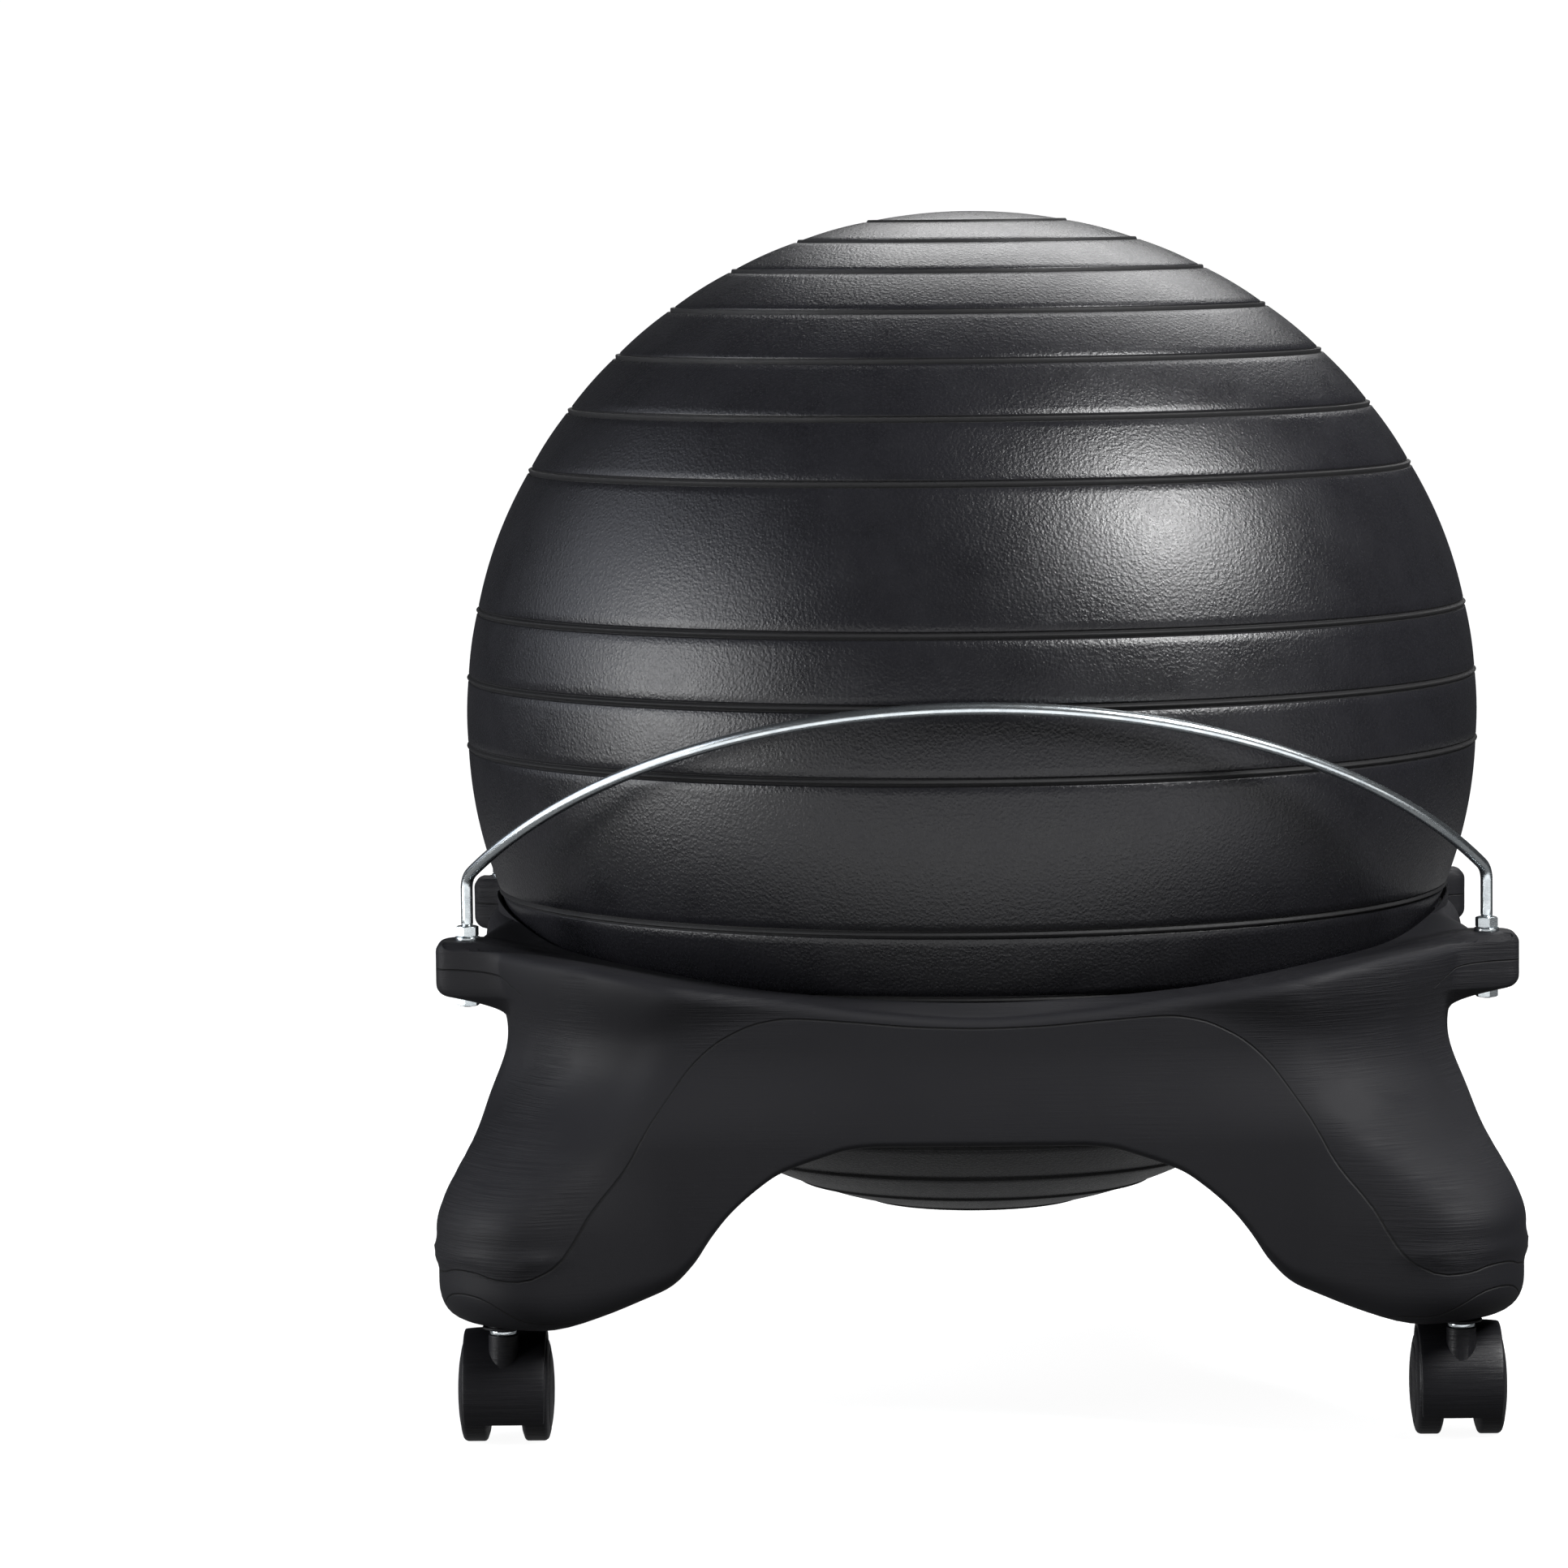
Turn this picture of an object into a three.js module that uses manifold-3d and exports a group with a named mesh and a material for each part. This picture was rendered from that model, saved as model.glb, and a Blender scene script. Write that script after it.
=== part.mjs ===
// Balance ball chair: a blow-moulded four-legged base on twin-wheel casters, a ribbed inflated ball in its
// seat, and two bent steel bars, bolted through the base's ears, that keep the ball from rolling out.
// Millimetres and degrees, +Z up. The origin is on the floor under the base's centre. The front faces -Y.
import * as THREE from "three";
import { mergeVertices } from "three/addons/utils/BufferGeometryUtils.js";
import Module from "manifold-3d";

const wasm = await Module();
wasm.setup();

// Fits shared by several pieces
const contactGap = 0.3;
const cutOverrun = 2;

// How many sides the round pieces have, from the smallest to the largest
const rodSides = 8;
const pinSides = 12;
const boltSides = 16;
const socketSides = 20;
const wheelRoomSides = 18;
const ballSides = 36;

// Ball: an ellipsoid of revolution, slightly flattened by its own weight
const ballRadius = 260;
const ballHalfHeight = 257.5;
const ballWall = 1.2;
const ribHeight = 1.1;
const ribHalfAngle = 0.6;
const seamLatitude = 4.7;
const seamRibOffset = 7.8;
const firstRibOffset = 24.9;
const ribPitch = 8.2;
const widestBand = 10;
const capLatitude = 84;
const valveRadius = 4;
const plugHeadRadius = 8;
const plugHeadThickness = 1.6;
const plugLength = 14;

// Base: heights of its rim, waist, arches and feet
const footHeight = 60;
const archHeight = 147;
const waistDrop = 20.5;
const flareDrop = 90;
const frontRimHeight = 215.5;
const saddleRise = 31.5;
const frontCrestDrop = 7;
const crestRise = 27;
const ballCentreAboveRim = 123;

// Base: half-sizes of its nearly square outline, from the rim down, and its mould wall
const rimInset = 6;
const rimHalf = ballRadius - rimInset;
const waistInset = 17;
const frontRimInset = 6;
const panelInset = 9;
const frontPanelLean = 5;
const sidePanelLean = 13;
const footSpread = 12.5;
const waistHalf = rimHalf - waistInset;
const panelHalf = rimHalf - panelInset;
const footHalf = rimHalf + footSpread;
const rimCornerRadius = 155;
const waistCornerRadius = 115;
const footCornerRadius = 56;
const mouldWall = 4;
const slantWallShare = 1.2;
const seatClearance = 1.8;
const seatDepth = 43.5;
const sharpRise = 9;
const crestRound = 5;
const lipRound = 1.2;
const hollowDrop = 20;
const hollowEdge = 1;
const footRecess = 2;
const footRound = 20;
const archRound = 3.5;
const legTaperShare = 0.74;
const footRoundShares = [0.45, 0.4];
const footBlendShares = [0.6, 0.27];
const flarePower = 1.25;
const creaseSoftness = 35;
const sharpSoftness = 7;

// Underside of an arch, from its middle to the foot: shares of the panel's half-size, and of the arch's rise
const archShares = [
  [0, 1], [0.2, 1], [0.26, 0.985], [0.31, 0.945], [0.395, 0.856], [0.4425, 0.764], [0.495, 0.629],
  [0.5335, 0.492], [0.565, 0.356], [0.612, 0.218], [0.655, 0.151], [0.72, 0.06], [0.765, 0.014],
  [0.8, 0], [1, 0],
];
// Edge of the sunk panel over an arch: shares of its half-size, and of the rise from foot to front rim
const creaseShares = [
  [0, 0.895], [0.12, 0.9], [0.26, 0.917], [0.385, 0.928], [0.442, 0.917], [0.519, 0.87],
  [0.585, 0.79], [0.645, 0.63], [0.69, 0.47], [0.735, 0.345], [0.76, 0.245], [0.785, 0.175],
  [0.84, 0.133], [0.9, 0.137], [1, 0.195],
];
// Heights of the rim beside the ball and of its outer crest: degrees from the front, shares of their rises
const lipShares = [[0, 0], [25, 0.12], [37, 0.26], [45, 0.35], [60, 0.48], [75, 0.8], [90, 1]];
const crestShares = [
  [0, 0], [12, 0.12], [25, 0.42], [32, 0.64], [37, 0.81], [45, 0.95], [60, 1], [90, 0.96],
];
// Directions of the mesh columns, as shares of the turn from the middle of a face to its corner
const columnShares = [0, 0.2, 0.356, 0.456, 0.544, 0.622, 0.689, 0.778, 0.889];

// Ears that carry the bars
const earWidth = 26;
const earThickness = 27.4;
const earAboveRim = 23.5;
const earReach = 13.5;
const earCornerRadius = 7;
const earEdge = 3;
const earRoot = 34;
const earSpacing = 300;

// Bars and their M6 hardware
const barDiameter = 6;
const barStraight = 31;
const barRise = 90.5;
const barBallGap = 1.5;
const barInset = 2;
const barBendRadius = 10;
const barBendTurn = 60;
const nutSides = 6;
const nutAcrossFlats = 10;
const nutHeight = 5;
const washerRadius = 6.2;
const washerThickness = 1.4;
const barBelowNut = 0.6;

// Twin-wheel casters with a pressed-in stem
const casterInset = 34.5;
const casterTrail = 19;
const wheelRadius = 25.4;
const wheelWidth = 14;
const wheelDome = 1.6;
const wheelShoulder = 2.3;
const wheelDomeRadius = 12.7;
const wheelSides = 24;
const webWidth = 15;
const axleRadius = 3;
const axleEndMargin = 3;
const wheelClearance = 0.4;
const fenderClearance = 2;
const fenderThickness = 3;
const fenderFrontAngle = 205;
const fenderRearAngle = 25;
const webRearAngle = -15;
const hoodSideInset = 1.75;
const hoodBossRadius = 7;
const hoodBossRise = 12;
const stemRadius = 5.5;
const stemLength = 34;
const stemShoulderRadius = 6.5;
const stemNeck = 1;
const stemShoulderHeight = 2.2;
const socketWall = 1.8;
const socketFlangeRadius = 10;
const socketFlangeThickness = 1;
const socketLength = 38;
const socketBossWall = 3.5;

// Places that follow from the sizes above
const ballCentreHeight = frontRimHeight + ballCentreAboveRim;
const barRadius = barDiameter / 2;
const barHalf = rimHalf - barInset;
const barHoleRadius = barRadius + contactGap;
const waistHeight = frontRimHeight - waistDrop;
const flareHeight = waistHeight - flareDrop;
const frontCrestHeight = frontRimHeight - frontCrestDrop;
const earTopHeight = frontRimHeight + earAboveRim;
const earBottomHeight = earTopHeight - earThickness;
const barBendHeight = earTopHeight + barStraight;
const casterPlace = footHalf - casterInset;
const axleHeight = wheelRadius * Math.cos(Math.PI / wheelSides);
const fenderInner = wheelRadius + fenderClearance;
const fenderOuter = fenderInner + fenderThickness;
const hoodTop = axleHeight + fenderOuter;
const wheelOffset = webWidth / 2 + wheelClearance;
const socketBoreRadius = stemRadius + contactGap;
const socketRadius = socketBoreRadius + socketWall;
const socketHoleRadius = socketRadius + contactGap;

const black = { ball: 0x2a2b2f, mould: 0x232428, nylon: 0x1c1d20 };
const materials = {
  ball: new THREE.MeshStandardMaterial({ color: black.ball, roughness: 0.45, metalness: 0 }),
  plug: new THREE.MeshStandardMaterial({ color: 0xd8d6d0, roughness: 0.5, metalness: 0 }),
  mould: new THREE.MeshStandardMaterial({ color: black.mould, roughness: 0.42, metalness: 0 }),
  nylon: new THREE.MeshStandardMaterial({ color: black.nylon, roughness: 0.38, metalness: 0 }),
  zinc: new THREE.MeshStandardMaterial({ color: 0xc9d0d2, roughness: 0.22, metalness: 1 }),
  steel: new THREE.MeshStandardMaterial({ color: 0xb4b8ba, roughness: 0.3, metalness: 1 }),
};

const radians = THREE.MathUtils.degToRad;
const lerp = THREE.MathUtils.lerp;
const easeIn = (t) => THREE.MathUtils.smoothstep(t, 0, 1);

// Closed meshes as solids that can be joined and cut, and back
function solidOf(geometry) {
  const bare = geometry.clone();
  bare.deleteAttribute("normal");
  bare.deleteAttribute("uv");
  const merged = mergeVertices(bare);
  const corners = merged.index.array;
  const kept = [];
  for (let i = 0; i < corners.length; i += 3) {
    const [a, b, c] = [corners[i], corners[i + 1], corners[i + 2]];
    if (a !== b && b !== c && c !== a) kept.push(a, b, c);
  }
  const vertProperties = new Float32Array(merged.attributes.position.array);
  return new wasm.Manifold(new wasm.Mesh({ numProp: 3, vertProperties, triVerts: new Uint32Array(kept) }));
}

function geometryOf(solid) {
  const mesh = solid.getMesh();
  const geometry = new THREE.BufferGeometry();
  geometry.setAttribute("position", new THREE.BufferAttribute(new Float32Array(mesh.vertProperties), 3));
  geometry.setIndex(new THREE.BufferAttribute(new Uint32Array(mesh.triVerts), 1));
  geometry.computeVertexNormals();
  return geometry;
}

// A profile of [radius, height] points, from the lower end of the axis to the upper one, turned about +Z
function revolved(profile, sides, start = 0) {
  const points = profile.map(([r, z]) => new THREE.Vector2(r, z));
  return new THREE.LatheGeometry(points, sides, start).rotateX(Math.PI / 2);
}

function cylinder(radius, low, high, sides) {
  return revolved([[0, low], [radius, low], [radius, high], [0, high]], sides);
}

// A ring or tube between two radii, as one closed profile
function tube(inner, outer, low, high, sides) {
  return revolved([[inner, low], [outer, low], [outer, high], [inner, high], [inner, low]], sides);
}

// Ball
const ballRadiusAt = (z, shrink = 0) => {
  const share = (z - ballCentreHeight) / (ballHalfHeight - shrink);
  return (ballRadius - shrink) * Math.sqrt(Math.max(0, 1 - share * share));
};

function ribLatitudes() {
  const found = [seamLatitude - seamRibOffset, seamLatitude, seamLatitude + seamRibOffset];
  for (let offset = firstRibOffset; offset < capLatitude + seamLatitude; offset += ribPitch) {
    if (seamLatitude + offset < capLatitude) found.push(seamLatitude + offset);
    if (offset - seamLatitude < capLatitude) found.push(seamLatitude - offset);
  }
  return found.sort((a, b) => a - b);
}

function ballSurfacePoint(latitude, proud) {
  const a = radians(latitude);
  return [(ballRadius + proud) * Math.cos(a), ballCentreHeight + (ballHalfHeight + proud) * Math.sin(a)];
}

function makeBallSkin() {
  const valvePad = plugHeadRadius + contactGap;
  const latitudes = ribLatitudes();
  const outer = [[0, ballCentreHeight - ballHalfHeight], [valvePad, ballCentreHeight - ballHalfHeight]];
  latitudes.forEach((latitude, i) => {
    outer.push(ballSurfacePoint(latitude - ribHalfAngle, 0));
    outer.push(ballSurfacePoint(latitude, ribHeight));
    outer.push(ballSurfacePoint(latitude + ribHalfAngle, 0));
    const next = latitudes[i + 1];
    if (next - latitude > widestBand) {
      outer.push(ballSurfacePoint(lerp(latitude, next, 1 / 3), 0));
      outer.push(ballSurfacePoint(lerp(latitude, next, 2 / 3), 0));
    }
  });
  outer.push(ballSurfacePoint(lerp(capLatitude, latitudes.at(-1), -1 / 3), 0));
  outer.push([0, ballCentreHeight + ballHalfHeight]);
  const rings = 12;
  const inner = [];
  for (let i = 0; i <= rings; i++) {
    const a = Math.PI * (i / rings - 1 / 2);
    const r = i % rings ? (ballRadius - ballWall) * Math.cos(a) : 0;
    inner.push([r, ballCentreHeight + (ballHalfHeight - ballWall) * Math.sin(a)]);
  }
  const bottom = ballCentreHeight - ballHalfHeight;
  const valvePocket = cylinder(valveRadius, bottom - cutOverrun, bottom + plugLength, boltSides);
  const valveBoss = cylinder(valveRadius + ballWall, bottom, bottom + plugLength / 2, boltSides);
  const skin = solidOf(revolved(outer, ballSides)).subtract(solidOf(revolved(inner, ballSides)));
  return geometryOf(skin.add(solidOf(valveBoss)).subtract(solidOf(valvePocket)));
}

function makeBallPlug() {
  const bottom = ballCentreHeight - ballHalfHeight;
  const top = bottom - contactGap;
  const shaft = valveRadius - contactGap;
  const tip = shaft / 2;
  return revolved([
    [0, top - plugHeadThickness], [plugHeadRadius, top - plugHeadThickness], [plugHeadRadius, top],
    [shaft, top], [tip, top + plugLength], [0, top + plugLength],
  ], boltSides);
}

// Base
function shareHeight(shares, share, low, high) {
  let i = 1;
  while (i < shares.length - 1 && shares[i][0] < share) i++;
  const [[x0, y0], [x1, y1]] = [shares[i - 1], shares[i]];
  const t = THREE.MathUtils.clamp((share - x0) / (x1 - x0), 0, 1);
  return lerp(low, high, lerp(y0, y1, t));
}

const archUnderside = (across) => shareHeight(archShares, across, footHeight, archHeight);

// Rounding of the lower edge: small over an arch, large round a foot
const edgeRoundAt = (across) => {
  const towardFoot = easeIn((across - footRoundShares[0]) / footRoundShares[1]);
  return lerp(archRound, footRound, towardFoot);
};

// Cosine and sine of a direction, folded into the first quarter
const foldedTurn = (angle) => [Math.abs(Math.cos(angle)), Math.abs(Math.sin(angle))];

// Distance of a point of a face from the panel's edge, above zero on the leg's or the rim's side of it
function creaseDistance(across, z) {
  const points = creaseShares.map(([x, y]) => [x * panelHalf, lerp(footHeight, frontRimHeight, y)]);
  const place = [across * panelHalf, z];
  let nearest = Infinity;
  for (let i = 1; i < points.length; i++) {
    const [a, b] = [points[i - 1], points[i]];
    const along = [b[0] - a[0], b[1] - a[1]];
    const from = [place[0] - a[0], place[1] - a[1]];
    const t = (from[0] * along[0] + from[1] * along[1]) / (along[0] ** 2 + along[1] ** 2);
    const s = THREE.MathUtils.clamp(t, 0, 1);
    nearest = Math.min(nearest, Math.hypot(from[0] - s * along[0], from[1] - s * along[1]));
  }
  const edge = shareHeight(creaseShares, across, footHeight, frontRimHeight);
  return z > edge ? nearest : -nearest;
}

// Rim heights in a direction: the edge beside the ball, and the crest outside it, both highest at the sides
function rimAt(angle) {
  const [c, s] = foldedTurn(angle);
  const fromFront = THREE.MathUtils.radToDeg(Math.atan2(c, s));
  const edge = shareHeight(lipShares, fromFront, frontRimHeight, frontRimHeight + saddleRise);
  const crest = shareHeight(crestShares, fromFront, frontCrestHeight, frontCrestHeight + crestRise);
  return { edge, crest };
}

// Radius of a square with rounded corners, in a direction given by its cosine and sine
function roundedSquare(c, s, half, corner) {
  const core = half - corner;
  const reach = Math.max(c, s);
  if ((half * Math.min(c, s)) / reach <= core) return half / reach;
  return core * (c + s) + Math.sqrt(Math.max(0, corner ** 2 - (core * (c - s)) ** 2));
}

function outerRadius(angle, z, crest) {
  const [c, s] = foldedTurn(angle);
  const flare = easeIn((waistHeight - z) / (waistHeight - flareHeight)) ** flarePower;
  const lip = easeIn((z - waistHeight) / (crest - crestRound - waistHeight));
  const rise = (crest - frontCrestHeight) / crestRise;
  const crestHalf = rimHalf - frontRimInset * (1 - rise);
  const half = waistHalf + (footHalf - waistHalf) * flare + (crestHalf - waistHalf) * lip;
  const corner = lerp(lerp(waistCornerRadius, footCornerRadius, flare), rimCornerRadius, lip);
  const leg = roundedSquare(c, s, half, corner);
  const across = Math.min(c, s) / Math.max(c, s);
  const sharp = easeIn((flareHeight - z) / sharpRise);
  const proud = easeIn(creaseDistance(across, z) / lerp(creaseSoftness, sharpSoftness, sharp));
  const towardFoot = easeIn((across - footBlendShares[0]) / footBlendShares[1]);
  const lean = lerp(frontPanelLean, sidePanelLean, rise);
  const panel = panelHalf - lean * easeIn((z - archHeight) / (waistHeight - archHeight));
  const sunk = lerp(panel / Math.max(c, s), leg - footRecess, towardFoot);
  return lerp(sunk, leg, proud);
}

// Lower edge of the shell in a direction. The arches are cut straight through, so that the underside beside
// one rises from the outer face towards the ball
function lowerEdge(angle, crest) {
  const [c, s] = foldedTurn(angle);
  const across = Math.min(c, s) / Math.max(c, s);
  const low = archUnderside(across);
  const round = edgeRoundAt(across);
  const foot = outerRadius(angle, low + round, crest);
  const underside = (radius) => archUnderside((across * radius) / foot);
  const settling = 8;
  let inner = innerWallRadius(low) + archRound;
  for (let i = 0; i < settling; i++) inner = innerWallRadius(underside(inner)) + archRound;
  return { low, round, foot, underside, inner };
}

// One slice of the outside of the base in a direction, as a closed loop of [radius, height]
function outsideSlice(angle) {
  const { edge, crest } = rimAt(angle);
  const outer = (z) => outerRadius(angle, z, crest);
  const { low, round, foot, underside, inner } = lowerEdge(angle, crest);
  const shoulder = crest - crestRound;
  const lipFoot = edge - lipRound;
  const inRim = ballRadiusAt(lipFoot) + seatClearance;
  const crestEdge = outer(shoulder) - crestRound;
  const shelf = [inRim + lipRound, crestEdge];
  const bevel = crestRound * (1 - Math.SQRT1_2);
  const loop = [
    [inRim, lipFoot], [shelf[0], edge], [lerp(...shelf, 0.5), lerp(edge, crest, 0.5)],
    [crestEdge, crest], [outer(shoulder) - bevel, crest - bevel],
  ];
  const faceSteps = 9;
  const crowding = 1.25;
  for (let i = 0; i <= faceSteps; i++) {
    const z = lerp(shoulder, low + round, (i / faceSteps) ** crowding);
    loop.push([outer(z), z]);
  }
  const cut = round * (1 - Math.SQRT1_2);
  loop.push([foot - cut, low + cut]);
  for (const r of [foot - round, lerp(foot - round, inner, 0.5), inner]) loop.push([r, underside(r)]);
  const wallFoot = underside(inner) + archRound;
  const seatFoot = frontRimHeight - seatDepth;
  const wallSteps = 3;
  for (let i = 0; i < wallSteps; i++) {
    const z = lerp(wallFoot, seatFoot, i / wallSteps);
    loop.push([innerWallRadius(z), z]);
  }
  const seatSteps = 5;
  for (let i = 0; i < seatSteps; i++) {
    const z = lerp(seatFoot, lipFoot, i / seatSteps);
    loop.push([ballRadiusAt(z) + seatClearance, z]);
  }
  return loop;
}

// The same slice of the hollow inside the base, a wall's thickness in from the outside
function hollowSlice(angle) {
  const { edge, crest } = rimAt(angle);
  const { low, round, underside, inner } = lowerEdge(angle, crest);
  const slantWall = mouldWall * slantWallShare;
  const outer = (z) => outerRadius(angle, z, crest) - slantWall;
  const top = Math.min(edge, crest) - hollowDrop;
  const inTop = ballRadiusAt(top) + seatClearance + slantWall;
  const loop = [[inTop, top], [Math.max(outer(top), inTop + hollowEdge), top]];
  const faceSteps = 4;
  const lowest = low + mouldWall + round;
  for (let i = 1; i <= faceSteps; i++) {
    const z = lerp(top, lowest, i / faceSteps);
    loop.push([outer(z), z]);
  }
  const far = outer(lowest) - round;
  const near = inner - archRound + slantWall;
  for (const r of [far, lerp(far, near, 0.5), near]) loop.push([r, underside(r) + slantWall]);
  const seatFoot = frontRimHeight - seatDepth;
  loop.push([innerWallRadius(seatFoot) + slantWall, seatFoot]);
  const middle = lerp(seatFoot, top, 0.5);
  loop.push([ballRadiusAt(middle) + seatClearance + slantWall, middle]);
  return loop;
}

function sliceDirections() {
  const directions = [];
  const corner = Math.PI / 4;
  for (let face = 0; face < 4; face++) {
    const middle = 2 * face * corner;
    columnShares.forEach((share) => directions.push(middle + share * corner));
    directions.push(middle + corner);
    columnShares.slice(1).reverse().forEach((share) => directions.push(middle + (2 - share) * corner));
  }
  return directions;
}

// Radius of the opening under the seat, which widens towards the feet
function innerWallRadius(z) {
  const opening = ballRadiusAt(frontRimHeight - seatDepth) + seatClearance;
  return opening + legTaperShare * Math.max(0, archHeight - z);
}

function sweptRing(slice) {
  const loops = sliceDirections().map((angle) => {
    const turn = [Math.cos(angle), Math.sin(angle)];
    return slice(angle).map(([r, z]) => [r * turn[0], r * turn[1], z]);
  });
  const size = loops[0].length;
  const index = [];
  loops.forEach((loop, i) => {
    const next = ((i + 1) % loops.length) * size;
    for (let j = 0; j < size; j++) {
      const up = (j + 1) % size;
      const [a, b, c, d] = [i * size + j, next + j, next + up, i * size + up];
      index.push(a, c, b, a, d, c);
    }
  });
  const geometry = new THREE.BufferGeometry();
  geometry.setAttribute("position", new THREE.Float32BufferAttribute(loops.flat(2), 3));
  geometry.setIndex(index);
  return geometry;
}

const quarters = [[-1, -1], [1, -1], [-1, 1], [1, 1]];
const earPlaces = quarters.map(([x, y]) => [x * barHalf, (y * earSpacing) / 2]);
const casterPlaces = quarters.map(([x, y]) => [x * casterPlace, y * casterPlace]);

// An ear: a rounded lug that runs out sideways from the rim
function makeEar([x, y]) {
  const side = Math.sign(x);
  const [root, tip] = [barHalf - earRoot, rimHalf + earReach - earEdge];
  const half = earWidth / 2 - earEdge;
  const shape = new THREE.Shape();
  shape.moveTo(root, -half);
  shape.lineTo(tip - earCornerRadius, -half);
  shape.quadraticCurveTo(tip, -half, tip, earCornerRadius - half);
  shape.lineTo(tip, half - earCornerRadius);
  shape.quadraticCurveTo(tip, half, tip - earCornerRadius, half);
  shape.lineTo(root, half);
  const block = new THREE.ExtrudeGeometry(shape, {
    depth: earThickness - 2 * earEdge,
    bevelThickness: earEdge,
    bevelSize: earEdge,
    bevelSegments: 1,
    curveSegments: 3,
  });
  block.translate(0, 0, earBottomHeight + earEdge);
  return solidOf(side < 0 ? block.rotateZ(Math.PI).translate(0, y, 0) : block.translate(0, y, 0));
}

function makeBaseShell() {
  let shell = solidOf(sweptRing(outsideSlice));
  earPlaces.forEach((place) => {
    shell = shell.add(makeEar(place));
  });
  shell = shell.subtract(solidOf(sweptRing(hollowSlice)));
  earPlaces.forEach(([x, y]) => {
    const boss = cylinder(barHoleRadius + mouldWall, earBottomHeight, earTopHeight, boltSides);
    const hole = cylinder(barHoleRadius, earBottomHeight - cutOverrun, earTopHeight + cutOverrun, boltSides);
    shell = shell.add(solidOf(boss.translate(x, y, 0))).subtract(solidOf(hole.translate(x, y, 0)));
  });
  casterPlaces.forEach(([x, y]) => {
    const bossTop = footHeight + socketLength - cutOverrun;
    const boreTop = footHeight + socketLength + cutOverrun;
    const boss = cylinder(socketHoleRadius + socketBossWall, footHeight, bossTop, socketSides);
    const bore = cylinder(socketHoleRadius, footHeight - cutOverrun, boreTop, socketSides);
    shell = shell.add(solidOf(boss.translate(x, y, 0))).subtract(solidOf(bore.translate(x, y, 0)));
  });
  return geometryOf(shell);
}

// A caster socket: a flanged black nylon sleeve pressed up into the foot
function makeSocket() {
  const low = footHeight - contactGap - socketFlangeThickness;
  return revolved([
    [socketBoreRadius, low], [socketFlangeRadius, low], [socketFlangeRadius, footHeight - contactGap],
    [socketRadius, footHeight - contactGap], [socketRadius, footHeight + socketLength],
    [socketBoreRadius, footHeight + socketLength], [socketBoreRadius, low],
  ], pinSides);
}

// A bar's line: up out of the ear, round a bend, and over the ball's front as one arc in a tilted plane
class BarLine extends THREE.Curve {
  constructor() {
    super();
    const footY = -earSpacing / 2;
    const apexY = -(ballRadius + ribHeight + barBallGap + barRadius);
    const lean = new THREE.Vector3(0, apexY - footY, barRise);
    const sagitta = lean.length();
    const radius = (barHalf ** 2 + sagitta ** 2) / (2 * sagitta);
    const halfAngle = Math.asin(barHalf / radius);
    const forward = lean.clone().normalize();
    const onArc = (a) => new THREE.Vector3(0, footY, barBendHeight)
      .addScaledVector(forward, radius * Math.cos(a) - (radius - sagitta))
      .setX(radius * Math.sin(a));
    const corner = onArc(-halfAngle);
    const trim = barBendRadius * Math.tan(radians(barBendTurn / 2));
    const low = new THREE.Vector3(-barHalf, footY, earBottomHeight - contactGap - nutHeight - barBelowNut);
    const bendStart = corner.clone().setZ(corner.z - trim);
    const bendEnd = onArc(-halfAngle + trim / radius);
    const bend = new THREE.QuadraticBezierCurve3(bendStart, corner, bendEnd);
    const bendSteps = 5;
    const arcSteps = 24;
    const left = [low, ...bend.getPoints(bendSteps)];
    const arc = [];
    for (let i = 1; i < arcSteps; i++) {
      arc.push(onArc(lerp(-halfAngle + trim / radius, halfAngle - trim / radius, i / arcSteps)));
    }
    const right = left.map((p) => p.clone().setX(-p.x)).reverse();
    this.stations = [...left, ...arc, ...right];
  }

  getPoint(t) {
    const last = this.stations.length - 1;
    const place = THREE.MathUtils.clamp(t, 0, 1) * last;
    const i = Math.min(Math.floor(place), last - 1);
    return this.stations[i].clone().lerp(this.stations[i + 1], place - i);
  }

  getTangent(t) {
    const last = this.stations.length - 1;
    const i = Math.round(THREE.MathUtils.clamp(t, 0, 1) * last);
    const [before, after] = [this.stations[Math.max(i - 1, 0)], this.stations[Math.min(i + 1, last)]];
    return after.clone().sub(before).normalize();
  }

  getPointAt(t) {
    return this.getPoint(t);
  }

  getTangentAt(t) {
    return this.getTangent(t);
  }

  getSpacedPoints(divisions) {
    return this.getPoints(divisions);
  }
}

function makeBar() {
  const line = new BarLine();
  const circle = [];
  for (let i = 0; i < rodSides; i++) {
    const a = (2 * Math.PI * i) / rodSides;
    circle.push(new THREE.Vector2(barRadius * Math.cos(a), barRadius * Math.sin(a)));
  }
  const steps = line.stations.length - 1;
  return new THREE.ExtrudeGeometry(new THREE.Shape(circle), { extrudePath: line, steps });
}

function makeNut(low) {
  const shape = new THREE.Shape();
  const corner = nutAcrossFlats / 2 / Math.cos(Math.PI / nutSides);
  for (let i = 0; i < nutSides; i++) {
    const a = (2 * Math.PI * i) / nutSides;
    shape[i ? "lineTo" : "moveTo"](corner * Math.cos(a), corner * Math.sin(a));
  }
  const hole = new THREE.Path();
  hole.absarc(0, 0, barHoleRadius, 0, 2 * Math.PI, true);
  shape.holes.push(hole);
  const settings = { depth: nutHeight, bevelEnabled: false, curveSegments: nutSides };
  return new THREE.ExtrudeGeometry(shape, settings).translate(0, 0, low);
}

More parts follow.
